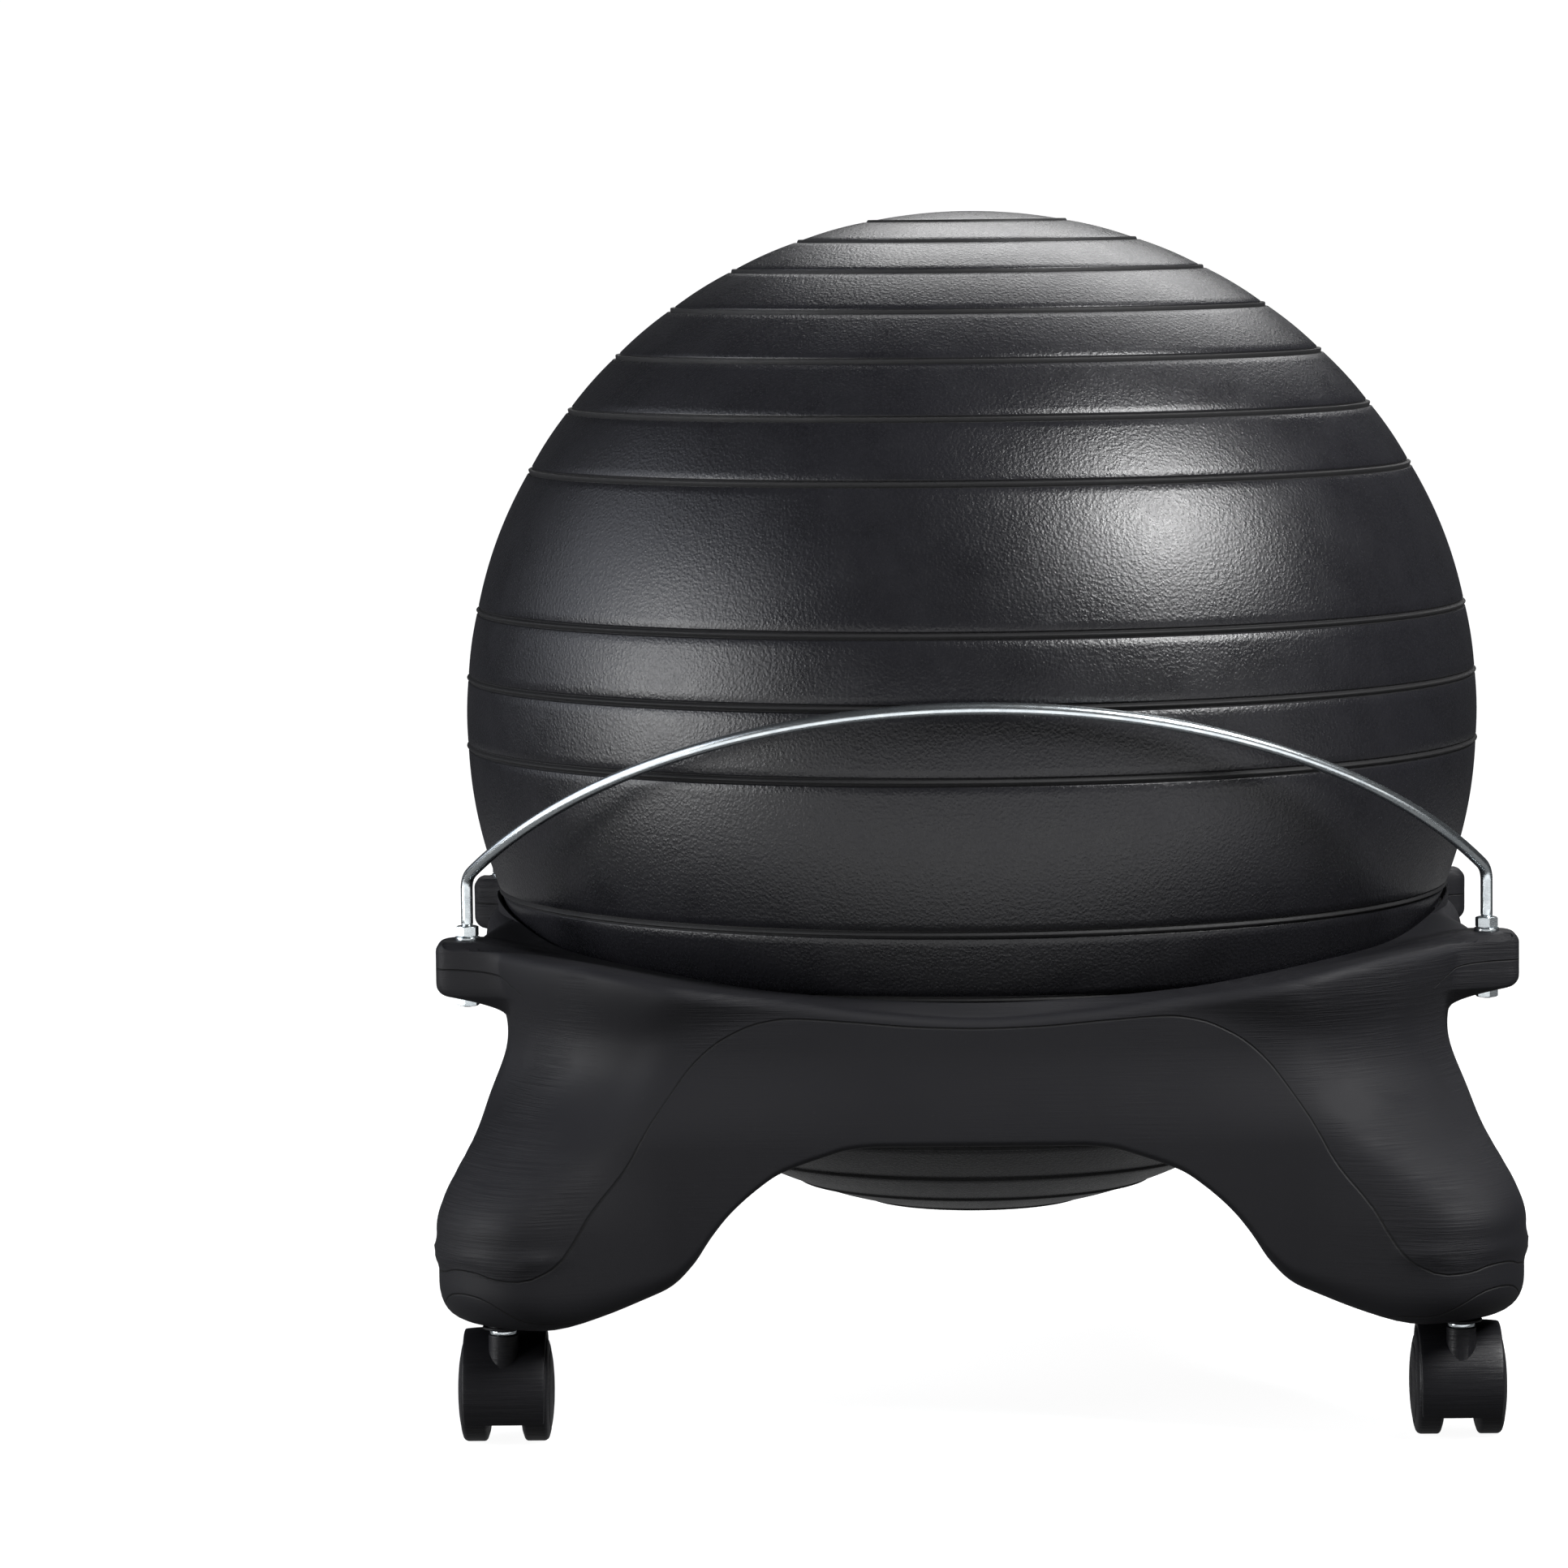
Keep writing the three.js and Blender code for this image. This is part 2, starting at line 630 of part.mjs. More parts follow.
// Casters, each in its own frame: the stem's axis is +Z and the wheels trail towards +Y
function makeStem() {
  const neck = stemRadius - stemNeck;
  const neckFoot = hoodTop - fenderThickness;
  const shoulderFoot = hoodTop + contactGap;
  const shoulderTop = hoodTop + stemShoulderHeight;
  const top = footHeight + stemLength;
  return revolved([
    [0, neckFoot], [neck, neckFoot], [neck, shoulderFoot], [stemShoulderRadius, shoulderFoot],
    [stemShoulderRadius, shoulderTop], [stemRadius, shoulderTop], [stemRadius, top - stemNeck], [neck, top],
    [0, top],
  ], pinSides);
}

// Points of an arc round the axle, in the plane of the trail and the height
function axleArc(radius, from, to) {
  const steps = 9;
  const points = [];
  for (let i = 0; i <= steps; i++) {
    const a = radians(lerp(from, to, i / steps));
    points.push(new THREE.Vector2(casterTrail + radius * Math.cos(a), axleHeight + radius * Math.sin(a)));
  }
  return points;
}

// A plate of that plane's shape, centred across the caster
function acrossCaster(points, thickness) {
  const settings = { depth: thickness, bevelEnabled: false };
  const plate = new THREE.ExtrudeGeometry(new THREE.Shape(points), settings);
  return plate.rotateX(Math.PI / 2).rotateZ(Math.PI / 2).translate(-thickness / 2, 0, 0);
}

// The hood: a fender over both wheels, a web between them for the axle, and a boss for the stem
function makeHood() {
  const width = 2 * (wheelOffset + wheelWidth - hoodSideInset);
  const fender = acrossCaster([
    ...axleArc(fenderOuter, fenderRearAngle, fenderFrontAngle),
    ...axleArc(fenderInner, fenderFrontAngle, fenderRearAngle),
  ], width);
  const web = acrossCaster(axleArc(fenderOuter - contactGap, webRearAngle, fenderFrontAngle), webWidth);
  const boss = cylinder(hoodBossRadius, axleHeight + hoodBossRise, hoodTop, boltSides);
  const wheelRoom = revolved([
    [0, -width], [fenderInner, -width], [fenderInner, -webWidth / 2], [0, -webWidth / 2],
  ], wheelRoomSides).rotateY(Math.PI / 2).translate(0, casterTrail, axleHeight);
  const otherRoom = wheelRoom.clone().rotateZ(Math.PI).translate(0, 2 * casterTrail, 0);
  const axleHole = cylinder(axleRadius + contactGap, -webWidth, webWidth, pinSides).rotateY(Math.PI / 2);
  const stemHoleFoot = hoodTop - fenderThickness - contactGap;
  const stemHoleRadius = stemRadius - stemNeck + contactGap;
  const stemHole = cylinder(stemHoleRadius, stemHoleFoot, hoodTop + cutOverrun, boltSides);
  let hood = solidOf(fender).add(solidOf(web)).add(solidOf(boss));
  [wheelRoom, otherRoom, axleHole.translate(0, casterTrail, axleHeight), stemHole].forEach((cut) => {
    hood = hood.subtract(solidOf(cut));
  });
  return geometryOf(hood);
}

function makeAxle() {
  const half = wheelOffset + wheelWidth - axleEndMargin;
  const pin = cylinder(axleRadius, -half, half, pinSides);
  return pin.rotateY(Math.PI / 2).translate(0, casterTrail, axleHeight);
}

// A wheel: flat tread, rounded shoulders, a domed outer face and a blind bore that the axle's end sits in
function makeWheel(side) {
  const bore = axleRadius + contactGap;
  const boreEnd = wheelWidth - axleEndMargin + contactGap;
  const sideRadius = wheelRadius - wheelShoulder;
  const disc = [
    [bore, 0], [sideRadius, 0], [wheelRadius, wheelShoulder], [wheelRadius, wheelWidth - 2 * wheelShoulder],
    [sideRadius, wheelWidth - wheelShoulder / 2], [wheelDomeRadius, wheelWidth + wheelDome],
    [0, wheelWidth + wheelDome], [0, boreEnd], [bore, boreEnd], [bore, 0],
  ];
  const flatDown = Math.PI / wheelSides;
  const wheel = revolved(disc, wheelSides, flatDown).translate(0, 0, wheelOffset);
  return wheel.rotateY((side * Math.PI) / 2).translate(0, casterTrail, axleHeight);
}

const chair = new THREE.Group();

function addNode(parent, name, geometry, material) {
  const mesh = new THREE.Mesh(geometry, material);
  mesh.name = name;
  parent.add(mesh);
  return mesh;
}

addNode(chair, "base_shell", makeBaseShell(), materials.mould);
addNode(chair, "ball_skin", makeBallSkin(), materials.ball);
addNode(chair, "ball_plug", makeBallPlug(), materials.plug);
addNode(chair, "front_support_bar", makeBar(), materials.zinc);
addNode(chair, "rear_support_bar", makeBar(), materials.zinc).rotation.z = Math.PI;

const corners = ["front_left", "front_right", "rear_left", "rear_right"];
corners.forEach((corner, i) => {
  const hardware = new THREE.Group();
  hardware.position.set(...earPlaces[i], 0);
  chair.add(hardware);
  const washerLow = earTopHeight + contactGap;
  const nutLow = washerLow + washerThickness + contactGap;
  const lowerNutLow = earBottomHeight - contactGap - nutHeight;
  const washer = tube(barHoleRadius, washerRadius, washerLow, washerLow + washerThickness, pinSides);
  addNode(hardware, `${corner}_bar_washer`, washer, materials.zinc);
  addNode(hardware, `${corner}_bar_upper_nut`, makeNut(nutLow), materials.zinc);
  addNode(hardware, `${corner}_bar_lower_nut`, makeNut(lowerNutLow), materials.zinc);

  const caster = new THREE.Group();
  caster.position.set(...casterPlaces[i], 0);
  const trailsBack = casterPlaces[i][1] < 0;
  caster.rotation.z = trailsBack ? 0 : Math.PI;
  chair.add(caster);
  addNode(caster, `${corner}_caster_socket`, makeSocket(), materials.nylon);
  addNode(caster, `${corner}_caster_stem`, makeStem(), materials.steel);
  addNode(caster, `${corner}_caster_hood`, makeHood(), materials.nylon);
  addNode(caster, `${corner}_caster_axle`, makeAxle(), materials.steel);
  const outward = Math.sign(casterPlaces[i][0]) * (trailsBack ? 1 : -1);
  addNode(caster, `${corner}_caster_outer_wheel`, makeWheel(outward), materials.nylon);
  addNode(caster, `${corner}_caster_inner_wheel`, makeWheel(-outward), materials.nylon);
});

export default chair;
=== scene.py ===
"""Balance ball chair: the dressed visual model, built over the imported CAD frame."""

import logging
import math
from dataclasses import dataclass
from enum import Enum

import bpy
import numpy as np
from mathutils import Matrix, Vector


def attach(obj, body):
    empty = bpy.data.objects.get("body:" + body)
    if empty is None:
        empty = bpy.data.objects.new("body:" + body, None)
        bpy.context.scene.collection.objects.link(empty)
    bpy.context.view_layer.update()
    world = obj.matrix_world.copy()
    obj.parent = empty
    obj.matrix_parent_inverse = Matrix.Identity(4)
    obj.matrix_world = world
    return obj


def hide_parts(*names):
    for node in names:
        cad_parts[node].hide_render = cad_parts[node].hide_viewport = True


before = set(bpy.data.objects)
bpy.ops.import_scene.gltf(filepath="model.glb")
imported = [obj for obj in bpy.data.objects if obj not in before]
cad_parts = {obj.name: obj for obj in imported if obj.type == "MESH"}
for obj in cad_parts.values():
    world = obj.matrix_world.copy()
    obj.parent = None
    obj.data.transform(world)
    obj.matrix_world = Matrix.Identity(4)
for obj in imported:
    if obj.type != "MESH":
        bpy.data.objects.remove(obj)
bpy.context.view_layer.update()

log = logging.getLogger("ball_chair")

Piece = bpy.types.Object
Finish = bpy.types.Material
Socket = bpy.types.NodeSocket

# One millimetre in metres, and the radius in millimetres at which a profile that meets its axis is capped.
MM = 0.001
POLE = 0.05
# How far each caster's stem stands from the chair's middle in x and in y, in millimetres.
CASTER_PLACE = 232.0
# What a point's distance from a mould line reads where there is no line near, in millimetres.
FAR = 50.0
# The side of the camera's frame in pixels, the sensor's width in millimetres, and the angle of a hard edge.
PHOTO_SIDE = 1932
SENSOR_WIDTH = 36.0
SHARP_ANGLE = math.radians(38)


class Corner(Enum):
    """The four corners of the chair, as the signs of x and y."""

    FRONT_LEFT = (-1, -1)
    FRONT_RIGHT = (1, -1)
    REAR_LEFT = (-1, 1)
    REAR_RIGHT = (1, 1)

    @property
    def label(self) -> str:
        """The corner's name as the frame's nodes write it."""
        return self.name.lower()


class Surface(Enum):
    """How a grid of points closes at its first and last rows."""

    CAPPED = "capped"
    TORUS = "torus"


# Curves and meshes


def smooth_step(value: np.ndarray) -> np.ndarray:
    """Eased 0 to 1: three times the square less twice the cube, held outside the range."""
    t = np.clip(value, 0.0, 1.0)
    return t * t * (3.0 - 2.0 * t)


def between(start: float | np.ndarray, end: float | np.ndarray, share: float | np.ndarray) -> np.ndarray:
    """The value a share of the way from start to end."""
    return start + (end - start) * share


def folded(x: np.ndarray, y: np.ndarray) -> tuple[np.ndarray, np.ndarray, np.ndarray]:
    """The sizes of x and y, and the smaller as a share of the larger."""
    x, y = np.abs(x), np.abs(y)
    return x, y, np.minimum(x, y) / np.maximum(x, y)


def spread(stretches: tuple) -> np.ndarray:
    """Evenly spaced numbers over each stretch, given as its start, its end and how many it has."""
    return np.concatenate([np.linspace(a, b, n, endpoint=False) for a, b, n in stretches])


def monotone_curve(table: tuple, at: np.ndarray) -> np.ndarray:
    """A smooth curve through a table's points that never overshoots them.

    Each stretch is a cubic with end slopes from the harmonic mean of the neighbouring chords, and zero where
    the chords change sign.

    Args:
        table: pairs of place and value, with the places rising.
        at: the places to read the curve at.

    Returns:
        The curve's value at each place.
    """
    x, y = np.array(table, dtype=float).T
    step = np.diff(x)
    chord = np.diff(y) / step
    slope = np.zeros_like(y)
    product = chord[:-1] * chord[1:]
    inner = np.where(product > 0, 2.0 * product / np.where(product > 0, chord[:-1] + chord[1:], 1.0), 0.0)
    slope[1:-1] = inner
    i = np.clip(np.searchsorted(x, at, side="right") - 1, 0, len(step) - 1)
    t = np.clip((at - x[i]) / step[i], 0.0, 1.0)
    rise = y[i] * (1 + 2 * t) * (1 - t) ** 2 + y[i + 1] * t * t * (3 - 2 * t)
    return rise + step[i] * (slope[i] * t * (1 - t) ** 2 - slope[i + 1] * t * t * (1 - t))


def grid_mesh(name: str, points: np.ndarray, surface: Surface, matrix: Matrix | None = None,
              attributes: dict | None = None) -> Piece:
    """Makes an object from a grid of points that closes on itself along its second direction.

    Args:
        name: the piece's name.
        points: rows by columns by 3, in millimetres, with the columns going round.
        surface: CAPPED closes the first and the last row with one face each, and TORUS joins the last row to
            the first.
        matrix: moves the points, in metres, if it is given.
        attributes: named numbers for each point, rows by columns.

    Returns:
        The new object, linked to the scene and shaded smooth.
    """
    rows, columns = points.shape[:2]
    last = rows if surface is Surface.TORUS else rows - 1
    r = np.arange(last)[:, None]
    c = np.arange(columns)[None, :]
    up, on = (r + 1) % rows, (c + 1) % columns
    quads = np.stack([r * columns + c, r * columns + on, up * columns + on, up * columns + c], axis=-1)
    quads = quads.reshape(-1, 4)
    corners = quads.ravel()
    totals = np.full(len(quads), 4)
    if surface is Surface.CAPPED:
        first_cap = np.arange(columns)[::-1]
        last_cap = (rows - 1) * columns + np.arange(columns)
        corners = np.concatenate([corners, first_cap, last_cap])
        totals = np.concatenate([totals, [columns, columns]])
    mesh = bpy.data.meshes.new(name)
    mesh.vertices.add(rows * columns)
    points = placed(points * MM, matrix or Matrix())
    mesh.vertices.foreach_set("co", points.reshape(-1).astype(np.float32))
    mesh.loops.add(len(corners))
    mesh.loops.foreach_set("vertex_index", corners.astype(np.int32))
    mesh.polygons.add(len(totals))
    mesh.polygons.foreach_set("loop_start", np.concatenate([[0], np.cumsum(totals)[:-1]]).astype(np.int32))
    mesh.polygons.foreach_set("loop_total", totals.astype(np.int32))
    mesh.polygons.foreach_set("use_smooth", np.ones(len(totals), dtype=bool))
    mesh.update(calc_edges=True)
    for key, values in (attributes or {}).items():
        numbers = values.reshape(-1).astype(np.float32)
        mesh.attributes.new(key, "FLOAT", "POINT").data.foreach_set("value", numbers)
    piece = bpy.data.objects.new(name, mesh)
    bpy.context.scene.collection.objects.link(piece)
    return piece


def polar(radius: np.ndarray, angle: np.ndarray, height: np.ndarray) -> np.ndarray:
    """Points at (radius cos angle, radius sin angle, height)."""
    return np.stack([radius * np.cos(angle), radius * np.sin(angle), height + 0 * radius * angle], axis=-1)


def turned(profile: np.ndarray, segments: int) -> np.ndarray:
    """Turns a profile about +Z: each point goes to (radius cos a, radius sin a, height).

    Args:
        profile: radius and height of each point, going round so that the surface's outside is on its right.
        segments: how many columns the full turn has.

    Returns:
        A grid of points, one row for each profile point.
    """
    a = np.linspace(0, 2 * np.pi, segments, endpoint=False)
    return polar(profile[:, :1], a, profile[:, 1:])


def rounded_profile(corners: list, segments: int = 5) -> np.ndarray:
    """A profile whose corners are replaced by parabolic arcs.

    Args:
        corners: (radius, height, rounding) of each corner, in order. A rounding of 0 keeps the corner.
        segments: how many chords each arc has.

    Returns:
        The points as an array of radius and height.
    """
    points = []
    for i, (x, z, rounding) in enumerate(corners):
        here = np.array([x, z])
        if rounding <= 0 or i in (0, len(corners) - 1):
            points.append(here)
            continue
        before = np.array(corners[i - 1][:2]) - here
        after = np.array(corners[i + 1][:2]) - here
        start = here + before / np.linalg.norm(before) * rounding
        end = here + after / np.linalg.norm(after) * rounding
        for t in np.linspace(0, 1, segments + 1):
            points.append((1 - t) ** 2 * start + 2 * t * (1 - t) * here + t * t * end)
    return np.array(points)


def tube_along(line: np.ndarray, radii: np.ndarray, guide: tuple) -> np.ndarray:
    """Carries a circle along a line.

    The circle's first direction is the guide less its part along the tangent, and its second is the cross
    product of the tangent and the first.

    Args:
        line: the stations, n by 3.
        radii: the radius at each station and round the circle, n by segments.
        guide: a direction that the line never runs along.

    Returns:
        A grid of points, one row for each station.
    """
    tangent = np.gradient(line, axis=0)
    tangent /= np.linalg.norm(tangent, axis=1)[:, None]
    guide = np.array(guide, dtype=float)
    normal = guide - tangent * (tangent @ guide)[:, None]
    normal /= np.linalg.norm(normal, axis=1)[:, None]
    across = np.cross(tangent, normal)
    a = np.linspace(0, 2 * np.pi, radii.shape[1], endpoint=False)
    ring = normal[:, None] * np.cos(a)[None, :, None] + across[:, None] * np.sin(a)[None, :, None]
    return line[:, None] + ring * radii[..., None]


def smooth_max(a: np.ndarray, b: np.ndarray, blend: float) -> np.ndarray:
    """The larger of two heights, filleted by a quarter of the blend times their squared nearness."""
    near = np.clip(1.0 - np.abs(a - b) / blend, 0.0, 1.0)
    return np.maximum(a, b) + 0.25 * blend * near ** 2


def rounded_drop(distance: np.ndarray, half: float, rounding: float) -> np.ndarray:
    """How far a face has fallen at a distance from its middle.

    It is 0 on the flat, a quarter circle over the rounding as far as a slope of five to one, and a straight
    line at that slope from there on.

    Args:
        distance: distance from the face's middle.
        half: half the face's width.
        rounding: radius of its edge.

    Returns:
        The fall, in the same unit.
    """
    steepest = 0.98  # the sine of the slope's angle where the straight line takes over
    share = np.maximum(0.0, (distance - half + rounding) / rounding)
    held = np.minimum(share, steepest)
    slope = steepest / math.sqrt(1 - steepest ** 2)
    return rounding * (1 - np.sqrt(1 - held ** 2)) + rounding * slope * (share - held)


def placed(points: np.ndarray, matrix: Matrix) -> np.ndarray:
    """Points moved by a 4 by 4 matrix."""
    m = np.array(matrix)
    return points @ m[:3, :3].T + m[:3, 3]


def shift(x: float, y: float, z: float = 0.0) -> Matrix:
    """A move given in millimetres."""
    return Matrix.Translation(Vector((x, y, z)) * MM)


def combined(piece: Piece, operation: str, others: list) -> Piece:
    """Joins or cuts a closed piece with others, which are used up.

    Args:
        piece: the piece that stays.
        operation: UNION or DIFFERENCE.
        others: the closed pieces that join or cut it.

    Returns:
        The piece, with the result as its mesh.
    """
    for other in others:
        modifier = piece.modifiers.new("combine", "BOOLEAN")
        modifier.operation = operation
        modifier.solver = "EXACT"
        modifier.object = other
    graph = bpy.context.evaluated_depsgraph_get()
    mesh = bpy.data.meshes.new_from_object(piece.evaluated_get(graph))
    piece.modifiers.clear()
    piece.data = mesh
    for other in others:
        bpy.data.objects.remove(other)
    return piece


def copy_of(piece: Piece, name: str, matrix: Matrix) -> Piece:
    """A copy of a piece under another name, with its points moved by a matrix."""
    mesh = piece.data.copy()
    mesh.name = name
    mesh.transform(matrix)
    copy = bpy.data.objects.new(name, mesh)
    bpy.context.scene.collection.objects.link(copy)
    return copy


# Finishes


class NodeBench:
    """Builds one node material, a node at a time."""

    def __init__(self, name: str) -> None:
        """Starts a material that holds a Principled shader and its output."""
        self.material = bpy.data.materials.new(name)
        self.material.use_nodes = True
        self.nodes = self.material.node_tree.nodes
        self.links = self.material.node_tree.links
        self.shader = self.nodes["Principled BSDF"]

    def add(self, kind: str, **sockets) -> bpy.types.Node:
        """Adds a node.

        Args:
            kind: the node's type.
            sockets: its properties, and its inputs by name with spaces written as underscores. A socket of
                another node is linked.

        Returns:
            The new node.
        """
        node = self.nodes.new(kind)
        for key, value in sockets.items():
            if hasattr(node, key):
                setattr(node, key, value)
                continue
            self.feed(node, key.replace("_", " "), value)
        return node

    def feed(self, node: bpy.types.Node, socket: str | int, value: object) -> None:
        """Sets a node's input to a number or colour, or links it to a socket."""
        target = node.inputs[socket]
        if isinstance(value, Socket):
            self.links.new(value, target)
        else:
            target.default_value = value

    def place(self, scale: tuple = (1, 1, 1)) -> Socket:
        """Object coordinates in metres, stretched."""
        source = self.add("ShaderNodeTexCoord").outputs["Object"]
        return self.add("ShaderNodeMapping", Vector=source, Scale=scale).outputs["Vector"]

    def noise(self, place: Socket, scale: float, detail: float = 2.0, rough: float = 0.5,
              distortion: float = 0.0) -> Socket:
        """Noise between 0 and 1 at a number of patches for each metre."""
        node = self.add("ShaderNodeTexNoise", Vector=place, Scale=scale, Detail=detail, Roughness=rough,
                        Distortion=distortion)
        return node.outputs["Fac"]

    def ramp(self, value: Socket, low: float, high: float, start: float = 0.0,
             end: float = 1.0) -> Socket:
        """Maps low to high onto start to end and holds it there."""
        node = self.add("ShaderNodeMapRange", clamp=True, Value=value)
        for key, number in (("From Min", low), ("From Max", high), ("To Min", start), ("To Max", end)):
            node.inputs[key].default_value = number
        return node.outputs["Result"]

    def math(self, operation: str, *values: object) -> Socket:
        """A Math node's result."""
        node = self.add("ShaderNodeMath", operation=operation)
        for i, value in enumerate(values):
            self.feed(node, i, value)
        return node.outputs[0]

    def weighted(self, *terms: tuple) -> Socket:
        """The sum of two values, each given with its weight."""
        return self.math("ADD", *(self.math("MULTIPLY", value, weight) for value, weight in terms))

    def mix(self, share: object, a: object, b: object) -> Socket:
        """A colour between a and b."""
        node = self.add("ShaderNodeMix", data_type="RGBA")
        self.feed(node, 0, share)
        self.feed(node, 6, a)
        self.feed(node, 7, b)
        return node.outputs[2]

    def attribute(self, name: str) -> Socket:
        """A number kept on the mesh's points."""
        return self.add("ShaderNodeAttribute", attribute_name=name).outputs["Fac"]

    def bump(self, height: Socket, depth: float, strength: float = 1.0,
             under: Socket | None = None) -> Socket:
        """A bump of a height map, in metres, over another normal if one is given."""
        node = self.add("ShaderNodeBump", Strength=strength, Distance=depth, Height=height)
        if under is not None:
            self.links.new(under, node.inputs["Normal"])
        return node.outputs["Normal"]

    def finish(self, **sockets) -> Finish:
        """Sets the shader's inputs and returns the material."""
        for key, value in sockets.items():
            self.feed(self.shader, key.replace("_", " "), value)
        return self.material


@dataclass(frozen=True)
class PebbledVinyl:
    """The ball's soft vinyl skin: charcoal, finely pebbled but for a smooth strip along each ring, which is
    coloured darker as painted shade.
    """

    colour: tuple = (0.0062, 0.0062, 0.0078, 1)
    worn_colour: tuple = (0.010, 0.010, 0.0125, 1)
    # The next colour is a painted highlight on the pebbles' raised tops.
    pebble_highlight_colour: tuple = (0.018, 0.018, 0.021, 1)
    # The next colour is painted shade along the smooth strips.
    strip_shade_colour: tuple = (0.0035, 0.0035, 0.0042, 1)
    grains_per_metre: float = 620.0
    grain_depth: float = 0.00036
    roughness: tuple = (0.26, 0.34)
    strip_half_width: float = 2.1
    strip_edge: float = 0.35
    strip_dulling: float = 0.4
    speckle_share: float = 0.55

    def build(self) -> Finish:
        """Makes the material: pebbles from cells and noise, with their raised tops coloured lighter as a
        painted highlight, uneven gloss, a faint bloom, and smooth strips coloured darker as painted shade.
        """
        bench = NodeBench("pebbled_vinyl")
        place = bench.place()
        away = bench.math("ABSOLUTE", bench.attribute("rib_mm"))
        strip, edge = self.strip_half_width, self.strip_edge
        pebbled = bench.ramp(away, strip - edge, strip + edge)
        cells = bench.add("ShaderNodeTexVoronoi", Vector=place, Scale=self.grains_per_metre,
                          feature="SMOOTH_F1", Smoothness=0.6, Randomness=1.0)
        fine = bench.noise(place, self.grains_per_metre * 1.9, 3.0, 0.6)
        pebbles = bench.math("SUBTRACT", fine, bench.math("MULTIPLY", cells.outputs["Distance"], 0.9))
        cloud = bench.noise(place, 9.0, 3.0, 0.55)
        bloom = bench.noise(place, 34.0, 4.0, 0.6)
        shade = bench.weighted((cloud, 0.6), (bloom, 0.4))
        colour = bench.mix(bench.ramp(shade, 0.35, 0.65), self.colour, self.worn_colour)
        # Painted highlight: the pebbles' raised tops are coloured lighter.
        speckle = bench.ramp(pebbles, -0.25, 0.45)
        colour = bench.mix(bench.math("MULTIPLY", speckle, self.speckle_share), colour, self.pebble_highlight_colour)
        # Painted shade: the smooth strips along the rings are coloured darker.
        colour = bench.mix(pebbled, self.strip_shade_colour, colour)
        rough = bench.ramp(bloom, 0.3, 0.7, *self.roughness)
        rough = bench.math("ADD", rough, bench.ramp(speckle, 0.0, 1.0, 0.04, -0.05))
        rough = bench.math("ADD", rough, bench.ramp(pebbled, 0.0, 1.0, self.strip_dulling, 0.0))
        raised = bench.math("MULTIPLY", pebbles, pebbled)
        return bench.finish(Base_Color=colour, Roughness=rough, Specular_IOR_Level=0.42,
                            Normal=bench.bump(raised, self.grain_depth, 0.5))


@dataclass(frozen=True)
class MouldedPlastic:
    """Blow-moulded black plastic: satin, with an uneven surface, fine scuffs, and parting lines whose grooves
    are coloured near black as painted shade.
    """

    name: str
    colour: tuple = (0.0075, 0.0075, 0.0095, 1)
    pale_colour: tuple = (0.016, 0.016, 0.019, 1)
    # The next colour is painted shade in the mould's creases and seam.
    crease_shade_colour: tuple = (0.002, 0.002, 0.002, 1)
    roughness: tuple = (0.56, 0.70)
    gloss: float = 0.24
    scuffs: float = 1.0
    parting_lines: bool = False

    def line(self, bench: NodeBench, attribute: str, half_width: float) -> Socket:
        """A soft line where a distance kept on the mesh passes zero."""
        away = bench.math("ABSOLUTE", bench.attribute(attribute))
        return bench.ramp(away, 0.15 * half_width, half_width, 1.0, 0.0)

    def build(self) -> Finish:
        """Makes the material: grain, drag marks that lie level, scuffs in patches, and the mould's lines,
        grooved and coloured dark as painted shade.
        """
        bench = NodeBench(self.name)
        place = bench.place()
        level = bench.place(scale=(1, 1, 34))
        drag = bench.noise(level, 26.0, 5.0, 0.62, 0.2)
        patches = bench.ramp(bench.noise(place, 11.0, 3.0, 0.6), 0.40, 0.62)
        if self.parting_lines:
            bulges = bench.ramp(bench.attribute("crease_mm"), -3.0, 6.0, 0.12, 1.0)
            patches = bench.math("MULTIPLY", patches, bulges)
        streaks = bench.math("MULTIPLY", bench.ramp(drag, 0.42, 0.72), patches)
        ripple = bench.noise(place, 16.0, 2.0, 0.4)
        grain = bench.noise(place, 1500.0, 2.0, 0.6)
        dust = bench.ramp(bench.noise(place, 520.0, 1.0, 0.5), 0.70, 0.80)
        shade = bench.weighted((streaks, 0.55 * self.scuffs), (dust, 0.35))
        colour = bench.mix(shade, self.colour, self.pale_colour)
        rough = bench.ramp(ripple, 0.3, 0.7, *self.roughness)
        rough = bench.math("ADD", rough, bench.math("MULTIPLY", streaks, 0.16 * self.scuffs))
        normal = bench.bump(ripple, 0.0012, 0.35)
        normal = bench.bump(grain, 0.00006, 0.5, normal)
        normal = bench.bump(streaks, 0.0005, 0.7 * self.scuffs, normal)
        if self.parting_lines:
            line = self.line(bench, "crease_mm", 0.7)
            line = bench.math("MAXIMUM", line, self.line(bench, "lower_crease_mm", 0.7))
            line = bench.math("MAXIMUM", line, self.line(bench, "seam_mm", 0.5))
            normal = bench.bump(bench.math("SUBTRACT", 1.0, line), 0.0005, 0.9, normal)
            # Painted shade: the creases and the seam are coloured near black.
            colour = bench.mix(bench.math("MULTIPLY", line, 0.9), colour, self.crease_shade_colour)
        return bench.finish(Base_Color=colour, Roughness=rough, Normal=normal, Specular_IOR_Level=self.gloss)


